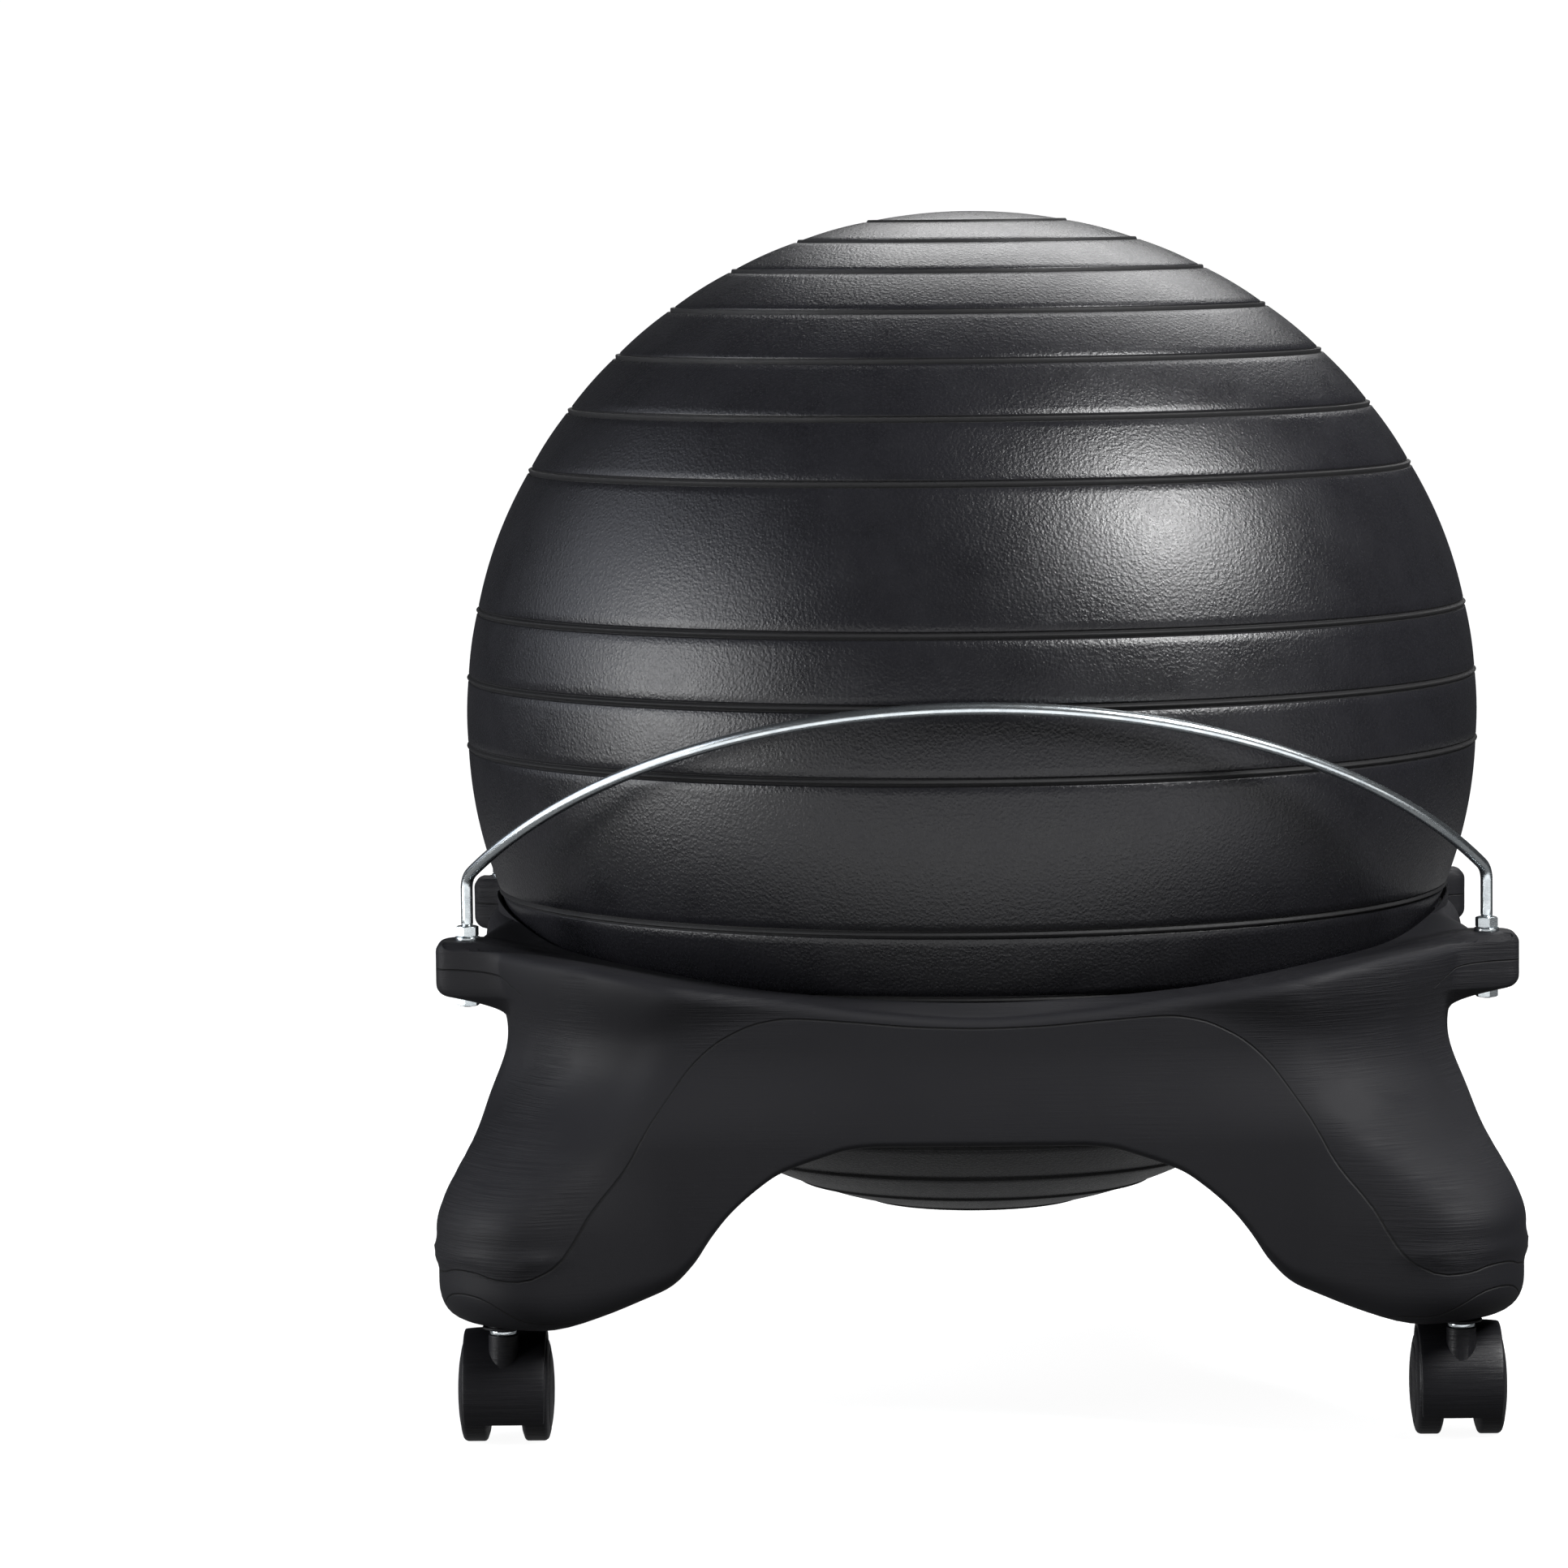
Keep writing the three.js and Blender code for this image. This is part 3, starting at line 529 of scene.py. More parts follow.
@dataclass(frozen=True)
class PlatedSteel:
    """Steel with a bright plating: cool, lightly brushed along one direction and faintly clouded."""

    name: str
    colour: tuple = (0.74, 0.79, 0.81, 1)
    dull_colour: tuple = (0.58, 0.63, 0.66, 1)
    spot_colour: tuple = (0.3, 0.31, 0.3, 1)
    roughness: tuple = (0.20, 0.30)
    brushing: tuple = (60, 60, 900)

    def build(self) -> Finish:
        """Makes the material: clouded plating over fine drawing marks."""
        bench = NodeBench(self.name)
        place = bench.place()
        marks = bench.noise(bench.place(scale=self.brushing), 3.0, 3.0, 0.6)
        cloud = bench.noise(place, 120.0, 4.0, 0.6)
        spots = bench.ramp(bench.noise(place, 420.0, 2.0, 0.5), 0.68, 0.78)
        colour = bench.mix(bench.ramp(cloud, 0.35, 0.65), self.colour, self.dull_colour)
        colour = bench.mix(bench.math("MULTIPLY", spots, 0.3), colour, self.spot_colour)
        rough = bench.ramp(bench.weighted((marks, 0.5), (cloud, 0.5)), 0.3, 0.7, *self.roughness)
        return bench.finish(Base_Color=colour, Metallic=1.0, Roughness=rough,
                            Normal=bench.bump(marks, 0.00004, 0.5))


@dataclass(frozen=True)
class ValvePlastic:
    """The pale soft plastic of the ball's plug."""

    colour: tuple = (0.62, 0.61, 0.57, 1)
    dull_colour: tuple = (0.5, 0.49, 0.45, 1)

    def build(self) -> Finish:
        """Makes the material: slightly mottled and waxy."""
        bench = NodeBench("valve_plastic")
        mottle = bench.noise(bench.place(), 300.0, 3.0, 0.6)
        colour = bench.mix(bench.ramp(mottle, 0.35, 0.7), self.colour, self.dull_colour)
        return bench.finish(Base_Color=colour, Roughness=bench.ramp(mottle, 0.3, 0.7, 0.4, 0.55),
                            Normal=bench.bump(mottle, 0.0001, 0.4))


@dataclass(frozen=True)
class StudioFloor:
    """The pale backdrop, which isn't part of the chair."""

    colour: tuple = (0.30, 0.30, 0.302, 1)

    def build(self) -> Finish:
        """Makes the backdrop's plain matt material."""
        return NodeBench("studio_floor").finish(Base_Color=self.colour, Roughness=0.9, Specular_IOR_Level=0.1,
                                                Emission_Color=(1, 1, 1, 1), Emission_Strength=0.95)


class Finishes:
    """Every material of the chair, made once."""

    def __init__(self) -> None:
        """Builds the materials."""
        self.vinyl = PebbledVinyl().build()
        self.mould = MouldedPlastic("moulded_base_plastic", parting_lines=True).build()
        self.nylon = MouldedPlastic("caster_nylon", colour=(0.0075, 0.0075, 0.009, 1), roughness=(0.38, 0.5),
                                    scuffs=0.5).build()
        self.zinc = PlatedSteel("zinc_plate").build()
        self.steel = PlatedSteel("turned_steel", colour=(0.55, 0.56, 0.56, 1), dull_colour=(0.4, 0.4, 0.4, 1),
                                 roughness=(0.22, 0.38)).build()
        self.bright = PlatedSteel("bright_steel", roughness=(0.16, 0.30)).build()
        self.plug = ValvePlastic().build()


def settle(piece: Piece, body: str, slot: str, material: Finish, *nodes: str) -> None:
    """Gives a piece its material and its body, and hides the CAD nodes that it stands for.

    Args:
        piece: the finished object.
        body: the CAD body that it moves with.
        slot: not used.
        material: its finish.
        nodes: the CAD nodes that it replaces.
    """
    piece.data.set_sharp_from_angle(angle=SHARP_ANGLE)
    piece.data.materials.clear()
    piece.data.materials.append(material)
    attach(piece, body)
    if nodes:
        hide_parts(*nodes)
    log.info("%s: %d faces on %s", piece.name, len(piece.data.polygons), body)


# The ball


@dataclass
class Ball:
    """The inflated ball: an ellipsoid of revolution with raised rings and bands that swell between them."""

    finishes: Finishes
    radius: float = 260.0
    half_height: float = 257.5
    centre_height: float = 338.5
    rib_height: float = 0.8
    rib_half_width: float = 0.24
    groove_depth: float = 1.0
    groove_place: float = 0.36
    groove_half_width: float = 0.2
    band_swell: float = 0.55
    seam_latitude: float = 4.7
    seam_rib_offset: float = 7.8
    first_rib_offset: float = 24.9
    rib_pitch: float = 8.2
    cap_latitude: float = 84.0
    columns: int = 256
    plug_radius: float = 8.0
    plug_thickness: float = 1.6
    plug_gap: float = 0.3
    plug_shaft: float = 3.7
    plug_length: float = 14.0

    def rib_latitudes(self) -> np.ndarray:
        """The latitudes of the raised rings: three at the seam, and evenly spaced ones above and below."""
        offsets = np.arange(self.first_rib_offset, 90.0, self.rib_pitch)
        above = self.seam_latitude + offsets
        below = self.seam_latitude - offsets
        seam = self.seam_latitude + self.seam_rib_offset * np.array([-1.0, 0.0, 1.0])
        found = np.concatenate([seam, above, below])
        return np.sort(found[np.abs(found) < self.cap_latitude])

    def section(self) -> tuple[np.ndarray, np.ndarray, np.ndarray]:
        """The ball's profile from the bottom to the top.

        Height over the ellipsoid = a raised cosine across each rib, less one in the groove at each side of
        it, plus the band's swell, a half sine from rib to rib that grows with the band's width.

        Returns:
            The latitudes in degrees, and at each the height over the ellipsoid and the distance from the
            nearest rib in millimetres.
        """
        ribs = self.rib_latitudes()
        reach = self.groove_place + self.groove_half_width
        near_ribs = (ribs[:, None] + np.linspace(-reach, reach, 25)[None, :]).ravel()
        edges = np.concatenate([[-90.0], ribs, [90.0]])
        bands = np.concatenate([np.linspace(a + reach, b - reach, max(4, int((b - a) / 0.9)))[1:-1]
                                for a, b in zip(edges, edges[1:])])
        latitudes = np.unique(np.round(np.concatenate([near_ribs, bands, [-89.0, 89.0]]), 4))
        nearest = np.min(np.abs(latitudes[:, None] - ribs[None, :]), axis=1)
        rib = 0.5 + 0.5 * np.cos(np.pi * np.clip(nearest / self.rib_half_width, 0, 1))
        off_groove = np.abs(nearest - self.groove_place) / self.groove_half_width
        groove = 0.5 + 0.5 * np.cos(np.pi * np.clip(off_groove, 0, 1))
        i = np.clip(np.searchsorted(edges, latitudes, side="right") - 1, 0, len(edges) - 2)
        width = edges[i + 1] - edges[i]
        swell = np.sin(np.pi * (latitudes - edges[i]) / width) * self.band_swell
        swell *= np.clip(width / 20.0, 0.3, 1.0)
        swell[(i == 0) | (i == len(edges) - 2)] = 0.0
        proud = self.rib_height * rib - self.groove_depth * groove + swell - self.band_swell / 2
        return latitudes, proud, nearest * math.radians(self.radius)

    def build_skin(self) -> None:
        """The skin as one closed surface with small caps at the poles."""
        latitudes, proud, from_rib = self.section()
        a = np.radians(latitudes)
        profile = np.stack([(self.radius + proud) * np.cos(a),
                            self.centre_height + (self.half_height + proud) * np.sin(a)], axis=1)
        distances = {"rib_mm": np.repeat(from_rib[:, None], self.columns, axis=1)}
        grid = turned(profile, self.columns)
        skin = grid_mesh("ball_vinyl", grid, Surface.CAPPED, attributes=distances)
        settle(skin, "ball", "ball_pvc", self.finishes.vinyl, "ball_skin")

    def build_plug(self) -> None:
        """The plug: a rounded head with a shallow dish and a tapered shaft in the valve."""
        under = self.centre_height - self.half_height - self.plug_gap
        head, end = under - self.plug_thickness, under + self.plug_length
        rim = self.plug_radius
        profile = rounded_profile([
            (POLE, head + 0.5, 0), (rim - 3, head + 0.5, 0.4), (rim - 2, head, 0.5), (rim, head, 0.7),
            (rim, under, 0.5), (self.plug_shaft, under, 0.3), (self.plug_shaft / 2, end, 0.8), (POLE, end, 0),
        ])
        plug = grid_mesh("valve_plug", turned(profile, 64), Surface.CAPPED)
        settle(plug, "ball", "plug", self.finishes.plug, "ball_plug")

    def build(self) -> None:
        """Builds the skin and its plug."""
        self.build_skin()
        self.build_plug()


# The base


@dataclass
class Ear:
    """A lug that runs out sideways from the rim and carries a bar's end. There is one at each corner."""

    tip: float = 267.45
    top: float = 239.0
    thickness: float = 27.4
    width: float = 26.0
    spacing: float = 300.0
    place: float = 252.0
    plan_corner: float = 7.0
    edge: float = 5.0
    lower_edge: float = 6.5
    fillet: float = 22.0
    pad_start: float = 243.0
    pad_slope: float = 0.3
    pad_margin: float = 1.0
    swell_margin: float = 3.0
    swell_run: float = 5.0
    hole_radius: float = 3.3
    hole_span: tuple = (190.0, 250.0)
    seam_share: float = 0.49
    seam_fall: float = 12.0
    seam_run: float = 26.0

    def aside(self, y: np.ndarray) -> np.ndarray:
        """Distance along the chair from the middle of the nearer ear."""
        return np.abs(np.abs(y) - self.spacing / 2)

    def outward(self, y: np.ndarray, z: np.ndarray) -> np.ndarray:
        """How far out the lug's end is: its tip less the rounded drops of its sides, top and underside."""
        middle = self.top - self.thickness / 2
        over = rounded_drop(z - middle, self.thickness / 2, self.edge)
        under = rounded_drop(middle - z, self.thickness / 2, self.lower_edge)
        return self.tip - rounded_drop(self.aside(y), self.width / 2, self.plan_corner) - over - under

    def pad(self, x: np.ndarray, y: np.ndarray) -> np.ndarray:
        """Height of the lug's flat top, which falls away beside it and gently towards the ball."""
        inward = self.pad_slope * np.maximum(0.0, self.pad_start - np.abs(x))
        return self.top - rounded_drop(self.aside(y), self.width / 2 + self.pad_margin, self.edge) - inward

    def swell(self, y: np.ndarray) -> np.ndarray:
        """1 across the lug and 0 beside it."""
        return smooth_step((self.width / 2 + self.swell_margin - self.aside(y)) / self.swell_run)

    def seam(self, y: np.ndarray, z: np.ndarray) -> np.ndarray:
        """Height over the mould's parting line, which is level across the lug and sinks beside it."""
        beyond = (self.aside(y) - self.width / 2) / self.seam_run
        level = self.top - self.thickness * self.seam_share - self.seam_fall * np.clip(beyond, 0, 1) ** 1.5
        return np.where(beyond < 1.0, z - level, FAR)


@dataclass
class Directions:
    """The base's measures in each direction of the grid.

    Attributes:
        angle: the direction in radians.
        across: the place across a face, from 0 in its middle to 1 at the leg's corner.
        edge: height of the rim's edge beside the ball, in millimetres like the rest.
        crest: height of the rim's crest.
        crown: radius of the crest's outer rounding.
        low: height of the lower edge.
        rounding: radius of the lower edge's rounding.
    """

    angle: np.ndarray
    across: np.ndarray
    edge: np.ndarray
    crest: np.ndarray
    crown: np.ndarray
    low: np.ndarray
    rounding: np.ndarray


@dataclass
class MouldedBase:
    """The blow-moulded base: four legs round a circular seat, a rim raised at the sides, and four ears."""

    finishes: Finishes
    ball: Ball
    ear: Ear
    foot_height: float = 60.0
    arch_height: float = 147.0
    waist_height: float = 195.0
    flare_height: float = 105.0
    rim_height: float = 215.5
    saddle_rise: float = 31.5
    crest_height: float = 208.5
    crest_rise: float = 27.0
    crest_round: float = 5.0
    side_crest_round: float = 13.0
    side_bulge: float = 6.0
    side_start: float = 64.0
    side_run: float = 12.0
    lip_round: float = 1.6
    rim_half: float = 254.0
    front_rim_inset: float = 6.0
    waist_half: float = 237.0
    flare_power: float = 1.25
    panel_half: float = 245.0
    front_lean: float = 5.0
    side_lean: float = 13.0
    foot_half: float = 266.5
    rim_corner: float = 155.0
    waist_corner: float = 115.0
    foot_corner: float = 56.0
    seat_gap: float = 1.8
    seat_depth: float = 43.5
    leg_taper: float = 0.74
    foot_recess: float = 1.2
    foot_round: float = 20.0
    arch_round: float = 3.5
    round_start: float = 0.45
    round_run: float = 0.4
    recess_start: float = 0.6
    recess_run: float = 0.27
    crease_softness: float = 35.0
    sharp_softness: float = 7.0
    sharp_rise: float = 9.0
    face_rows: int = 54
    pad_fillet: float = 3.0
    lower_crease_start: float = 0.74
    socket_bore: float = 7.9
    socket_start: float = 40.0
    socket_depth: float = 38.0

    side_stretches = ((0, 13, 7), (13, 20, 7), (20, 27, 8), (27, 36.5, 40), (36.5, 45, 10))
    ear_stretches = ((0, 17, 9), (17, 30, 19), (30, 34, 2))
    front_stretches = ((0, 13, 9), (13, 20, 9), (20, 33, 26), (33, 45, 15))
    lip_shares = ((0, 0), (25, 0.12), (37, 0.26), (45, 0.35), (60, 0.48), (75, 0.8), (90, 1))
    crest_shares = ((0, 0), (12, 0.12), (25, 0.42), (32, 0.64), (37, 0.81), (45, 0.95), (60, 1), (75, 1.14),
                    (90, 1.185))
    arch_shares = ((0, 1), (0.2, 1), (0.26, 0.985), (0.31, 0.945), (0.395, 0.856), (0.4425, 0.764),
                   (0.495, 0.629), (0.5335, 0.492), (0.565, 0.356), (0.612, 0.218), (0.655, 0.151),
                   (0.72, 0.06), (0.765, 0.014), (0.8, 0), (1, 0))
    crease_shares = ((0, 0.925), (0.12, 0.93), (0.26, 0.947), (0.385, 0.958), (0.442, 0.947), (0.519, 0.9),
                     (0.585, 0.82), (0.645, 0.665), (0.69, 0.505), (0.735, 0.38), (0.76, 0.28), (0.785, 0.21),
                     (0.84, 0.168), (0.9, 0.172), (0.96, 0.188), (1, 0.19))
    lower_crease_shares = ((0.72, -0.02), (0.775, 0.03), (0.83, 0.032), (0.88, 0.068), (0.92, 0.098),
                           (0.96, 0.113), (1, 0.116))

    def angles(self) -> np.ndarray:
        """Directions of the grid's columns, closest together at the arches' edges and across the ears."""
        side, front = spread(self.side_stretches), spread(self.front_stretches)
        to_back = np.concatenate([side, [45.0], 90.0 - front[:0:-1]])
        to_side = np.concatenate([front, [45.0], 90.0 - side[:0:-1]])
        return np.radians(np.concatenate([to_back, to_side + 90.0, to_back + 180.0, to_side + 270.0]))

    def section_radius(self, half: np.ndarray, corner: np.ndarray, c: np.ndarray,
                       s: np.ndarray) -> np.ndarray:
        """Radius of a square with rounded corners in a direction.

        Args:
            half: half the square's side.
            corner: the corner's radius.
            c: the direction's cosine, without its sign.
            s: the direction's sine, without its sign.

        Returns:
            half / max(c, s) on a flat side, and the ray's far crossing of the corner's circle elsewhere.
        """
        core = half - corner
        reach, low = np.maximum(c, s), np.minimum(c, s)
        inside = corner ** 2 - (core * (c - s)) ** 2
        rounded = core * (c + s) + np.sqrt(np.maximum(inside, 0.0))
        return np.where(half * low / reach <= core, half / reach, rounded)

    def distance_to(self, shares: tuple, across: np.ndarray, z: np.ndarray) -> np.ndarray:
        """Distance from points of a face to a line drawn on it.

        Args:
            shares: the line's points, as shares of the panel's half-size and of the front rim's rise.
            across: each point's place across the face, as a share.
            z: each point's height.

        Returns:
            The distance in millimetres, below zero under the line.
        """
        table = np.array(shares)
        x = np.linspace(table[0, 0], table[-1, 0], 70)
        y = between(self.foot_height, self.rim_height, monotone_curve(shares, x))
        line = np.stack([x * self.panel_half, y], axis=1)
        place = np.stack([across * self.panel_half, z], axis=-1).reshape(-1, 1, 2)
        a, b = line[:-1][None], line[1:][None]
        along = b - a
        t = np.clip(((place - a) * along).sum(-1) / (along ** 2).sum(-1), 0, 1)[..., None]
        nearest = np.linalg.norm(place - a - t * along, axis=-1).min(axis=1).reshape(z.shape)
        edge = between(self.foot_height, self.rim_height, monotone_curve(shares, across))
        return np.where(z > edge, nearest, -nearest)

    def outer_radius(self, angle: np.ndarray, z: np.ndarray, crest: np.ndarray) -> np.ndarray:
        """Radius of the outside of the base.

        It is the rounded square of the leg, which flares from the waist to the foot and again to the rim,
        eased into the flat panel over the arch across the crease.

        Args:
            angle: direction of each point.
            z: height of each point.
            crest: height of the rim's crest in that direction.

        Returns:
            The radius in millimetres.
        """
        c, s, across = folded(np.cos(angle), np.sin(angle))
        flare = smooth_step((self.waist_height - z) / (self.waist_height - self.flare_height))
        flare = flare ** self.flare_power
        lip = smooth_step((z - self.waist_height) / (crest - self.crest_round - self.waist_height))
        rise = np.clip((crest - self.crest_height) / self.crest_rise, 0.0, 1.0)
        bulge = self.side_bulge * self.toward_side(c, s)
        crest_half = self.rim_half - self.front_rim_inset * (1 - rise) + bulge
        half = between(self.waist_half, self.foot_half, flare) + (crest_half - self.waist_half) * lip
        corner = between(between(self.waist_corner, self.foot_corner, flare), self.rim_corner, lip)
        leg = self.section_radius(half, corner, c, s)
        sharp = smooth_step((self.flare_height - z) / self.sharp_rise)
        softness = between(self.crease_softness, self.sharp_softness, sharp)
        proud = smooth_step(self.distance_to(self.crease_shares, across, z) / softness)
        toward_foot = smooth_step((across - self.recess_start) / self.recess_run)
        upper = smooth_step((z - self.arch_height) / (self.waist_height - self.arch_height))
        lean = between(self.front_lean, self.side_lean, rise) * upper
        panel = (self.panel_half - lean) / np.maximum(c, s)
        return between(between(panel, leg - self.foot_recess, toward_foot), leg, proud)

    def toward_side(self, c: np.ndarray, s: np.ndarray) -> np.ndarray:
        """1 in the middle of the rim's sides, eased to 0 before the ears, from a direction's parts."""
        return smooth_step((np.degrees(np.arctan2(c, s)) - self.side_start) / self.side_run)

    def ball_radius_at(self, z: np.ndarray) -> np.ndarray:
        """The ball's radius at a height."""
        share = (z - self.ball.centre_height) / self.ball.half_height
        return self.ball.radius * np.sqrt(np.maximum(0.0, 1 - share ** 2))

    def directions(self) -> Directions:
        """The base's measures in every direction of the grid."""
        angle = self.angles()
        c, s, across = folded(np.cos(angle), np.sin(angle))
        from_front = np.degrees(np.arctan2(c, s))
        crest = self.crest_height + self.crest_rise * monotone_curve(self.crest_shares, from_front)
        rim = self.section_radius(self.rim_half, self.rim_corner, c, s)
        at_ear = np.where(c > s, self.ear.swell(rim * s), 0.0)
        toward_foot = smooth_step((across - self.round_start) / self.round_run)
        return Directions(
            angle=angle,
            across=across,
            edge=self.rim_height + self.saddle_rise * monotone_curve(self.lip_shares, from_front),
            crest=between(crest, self.ear.top, at_ear),
            crown=between(self.crest_round, self.side_crest_round, self.toward_side(c, s)),
            low=self.arch(across),
            rounding=between(self.arch_round, self.foot_round, toward_foot),
        )

    def arch(self, across: np.ndarray) -> np.ndarray:
        """Height of the arches' edge at a place across a face."""
        return between(self.foot_height, self.arch_height, monotone_curve(self.arch_shares, across))

    def hollow_radius(self, z: np.ndarray) -> np.ndarray:
        """Radius of the hollow under the seat at a height."""
        opening = self.ball_radius_at(self.rim_height - self.seat_depth) + self.seat_gap
        return opening + self.leg_taper * np.maximum(0.0, self.arch_height - z)

    def rim_rows(self, d: Directions) -> list:
        """Rows from the edge beside the ball, over the shelf, to the crest's outer shoulder."""
        shoulder = d.crest - d.crown
        in_rim = self.ball_radius_at(d.edge - self.lip_round) + self.seat_gap
        shelf = in_rim + self.lip_round
        shelf_end = self.outer_radius(d.angle, shoulder, d.crest) - d.crown
        lip = [(in_rim + self.lip_round * (1 - np.cos(t)), d.edge - self.lip_round * (1 - np.sin(t)), 0.0)
               for t in np.linspace(0, np.pi / 2, 5)]
        flat = [(between(shelf, shelf_end, t), between(d.edge, d.crest, smooth_step(t)), t ** 3)
                for t in np.linspace(0, 1, 15)[1:-1]]
        crown = [(shelf_end + d.crown * np.sin(t), shoulder + d.crown * np.cos(t), 1.0)
                 for t in np.linspace(0, np.pi / 2, 8)]
        return lip + flat + crown

    def wall_rows(self, d: Directions) -> list:
        """Rows down the outside, from the crest's shoulder to the top of the foot's rounding."""
        shoulder = d.crest - d.crown
        below = shoulder - self.ear_stretches[-1][1]
        heights = [shoulder - depth for depth in spread(self.ear_stretches)[1:]]
        heights += [between(below, d.low + d.rounding, t) for t in np.linspace(0, 1, self.face_rows)]
        return [(self.outer_radius(d.angle, z, d.crest), z, 1.0) for z in heights]

    def under_rows(self, d: Directions, foot: np.ndarray) -> list:
        """Rows round the lower edge, in across the underside, and up the hollow to the ball again.

        The arches are cut straight through, so the underside's height at a radius is the arch's at the place
        across the face that the radius reaches.

        Args:
            d: the base's measures in each direction.
            foot: the outside's radius where the rounding starts.

        Returns:
            Radius, height and share of the outside for each row.
        """
        def underside(radius: np.ndarray) -> np.ndarray:
            """Height of the underside at a radius."""
            return self.arch(d.across * radius / foot)

        rows = []
        for t in np.linspace(0, np.pi / 2, 10)[1:]:
            radius = foot - d.rounding * (1 - np.cos(t))
            rows.append((radius, underside(radius) + d.rounding * (1 - np.sin(t)), 1.0))
        under_end = self.hollow_radius(d.low) + self.arch_round
        for _ in range(12):
            under_end = self.hollow_radius(underside(under_end)) + self.arch_round
        flat = [between(foot - d.rounding, under_end, t) for t in np.linspace(0, 1, 11)[1:]]
        rows += [(radius, underside(radius), 0.0) for radius in flat]
        edge_low = underside(under_end)
        wall_foot = edge_low + self.arch_round
        wall_radius = self.hollow_radius(wall_foot)
        rows += [(between(under_end, wall_radius, np.sin(t)), between(wall_foot, edge_low, np.cos(t)), 0.0)
                 for t in np.linspace(0, np.pi / 2, 6)[1:]]
        seat_foot = self.rim_height - self.seat_depth
        wall = [between(wall_foot, seat_foot, t) for t in np.linspace(0, 1, 14)[1:-1]]
        rows += [(self.hollow_radius(z), z, 0.0) for z in wall]
        seat = [between(seat_foot, d.edge - self.lip_round, t) for t in np.linspace(0, 1, 12)[:-1]]
        return rows + [(self.ball_radius_at(z) + self.seat_gap, z, 0.0) for z in seat]

    def loops(self) -> tuple[np.ndarray, np.ndarray]:
        """Every slice of the base as a closed loop, before the ears.

        Returns:
            The points, rows by columns by 3, and how far each row belongs to the outside: 0 beside the ball
            and under the seat, and 1 from the crest to the foot.
        """
        d = self.directions()
        rows = self.rim_rows(d) + self.wall_rows(d)
        rows += self.under_rows(d, rows[-1][0])
        radius, height, outside = (np.array([value + 0 * d.angle for value in column])
                                   for column in zip(*rows))
        return polar(radius, d.angle, height), outside

    def with_ears(self, points: np.ndarray, outside: np.ndarray) -> np.ndarray:
        """Draws the ears out of the rim.

        A point of the outside moves out along x to the larger of its own place and the ear's, filleted, and a
        point of the shelf rises to the ear's flat top in the same way.

        Args:
            points: the base's points.
            outside: how far each belongs to the outside.

        Returns:
            The moved points.
        """
        x, y, z = np.moveaxis(points, -1, 0)
        flank = np.abs(x) > np.abs(y)
        moved = smooth_max(np.abs(x), self.ear.outward(y, z), self.ear.fillet)
        reach = np.abs(x) + np.where(flank, outside * (moved - np.abs(x)), 0.0)
        on_shelf = flank & (outside > 0.0) & (outside < 1.0)
        raised = smooth_max(z, self.ear.pad(reach, y), self.pad_fillet)
        height = np.where(on_shelf, np.minimum(raised, self.ear.top), z)
        return np.stack([np.sign(x) * reach, y, height], axis=-1)

    def lines(self, points: np.ndarray, outside: np.ndarray) -> dict:
        """Each point's signed distance in millimetres from the mould's lines, and FAR beyond them."""
        x, y, z = np.moveaxis(points, -1, 0)
        x, y, across = folded(x, y)
        face = outside >= 1.0
        flank = face & (x > y)
        lower = face & (across > self.lower_crease_start)
        return {
            "crease_mm": np.where(face, self.distance_to(self.crease_shares, across, z), FAR),
            "lower_crease_mm": np.where(lower, self.distance_to(self.lower_crease_shares, across, z), FAR),
            "seam_mm": np.where(flank, self.ear.seam(y, z), FAR),
        }

    def bore(self, radius: float, low: float, high: float, matrix: Matrix) -> Piece:
        """A closed cylinder that cuts an upright hole, placed by a matrix."""
        profile = np.array([(POLE, low), (radius, low), (radius, high), (POLE, high)])
        return grid_mesh("bore", turned(profile, 32), Surface.CAPPED, matrix)

    def build(self) -> None:
        """Builds the shell as one closed grid, bored for the bars and the caster sockets."""
        points, outside = self.loops()
        points = self.with_ears(points, outside)
        lines = {name: values[::-1] for name, values in self.lines(points, outside).items()}
        shell = grid_mesh("moulded_base", points[::-1], Surface.TORUS, attributes=lines)
        bores = []
        for corner in Corner:
            x, y = corner.value
            bolt = shift(x * self.ear.place, y * self.ear.spacing / 2)
            bores.append(self.bore(self.ear.hole_radius, *self.ear.hole_span, bolt))
            stem = shift(x * CASTER_PLACE, y * CASTER_PLACE)
            top = self.foot_height + self.socket_depth
            bores.append(self.bore(self.socket_bore, self.socket_start, top, stem))
        combined(shell, "DIFFERENCE", bores)
        settle(shell, "base", "moulded_base", self.finishes.mould, "base_shell")


# The bars and their hardware


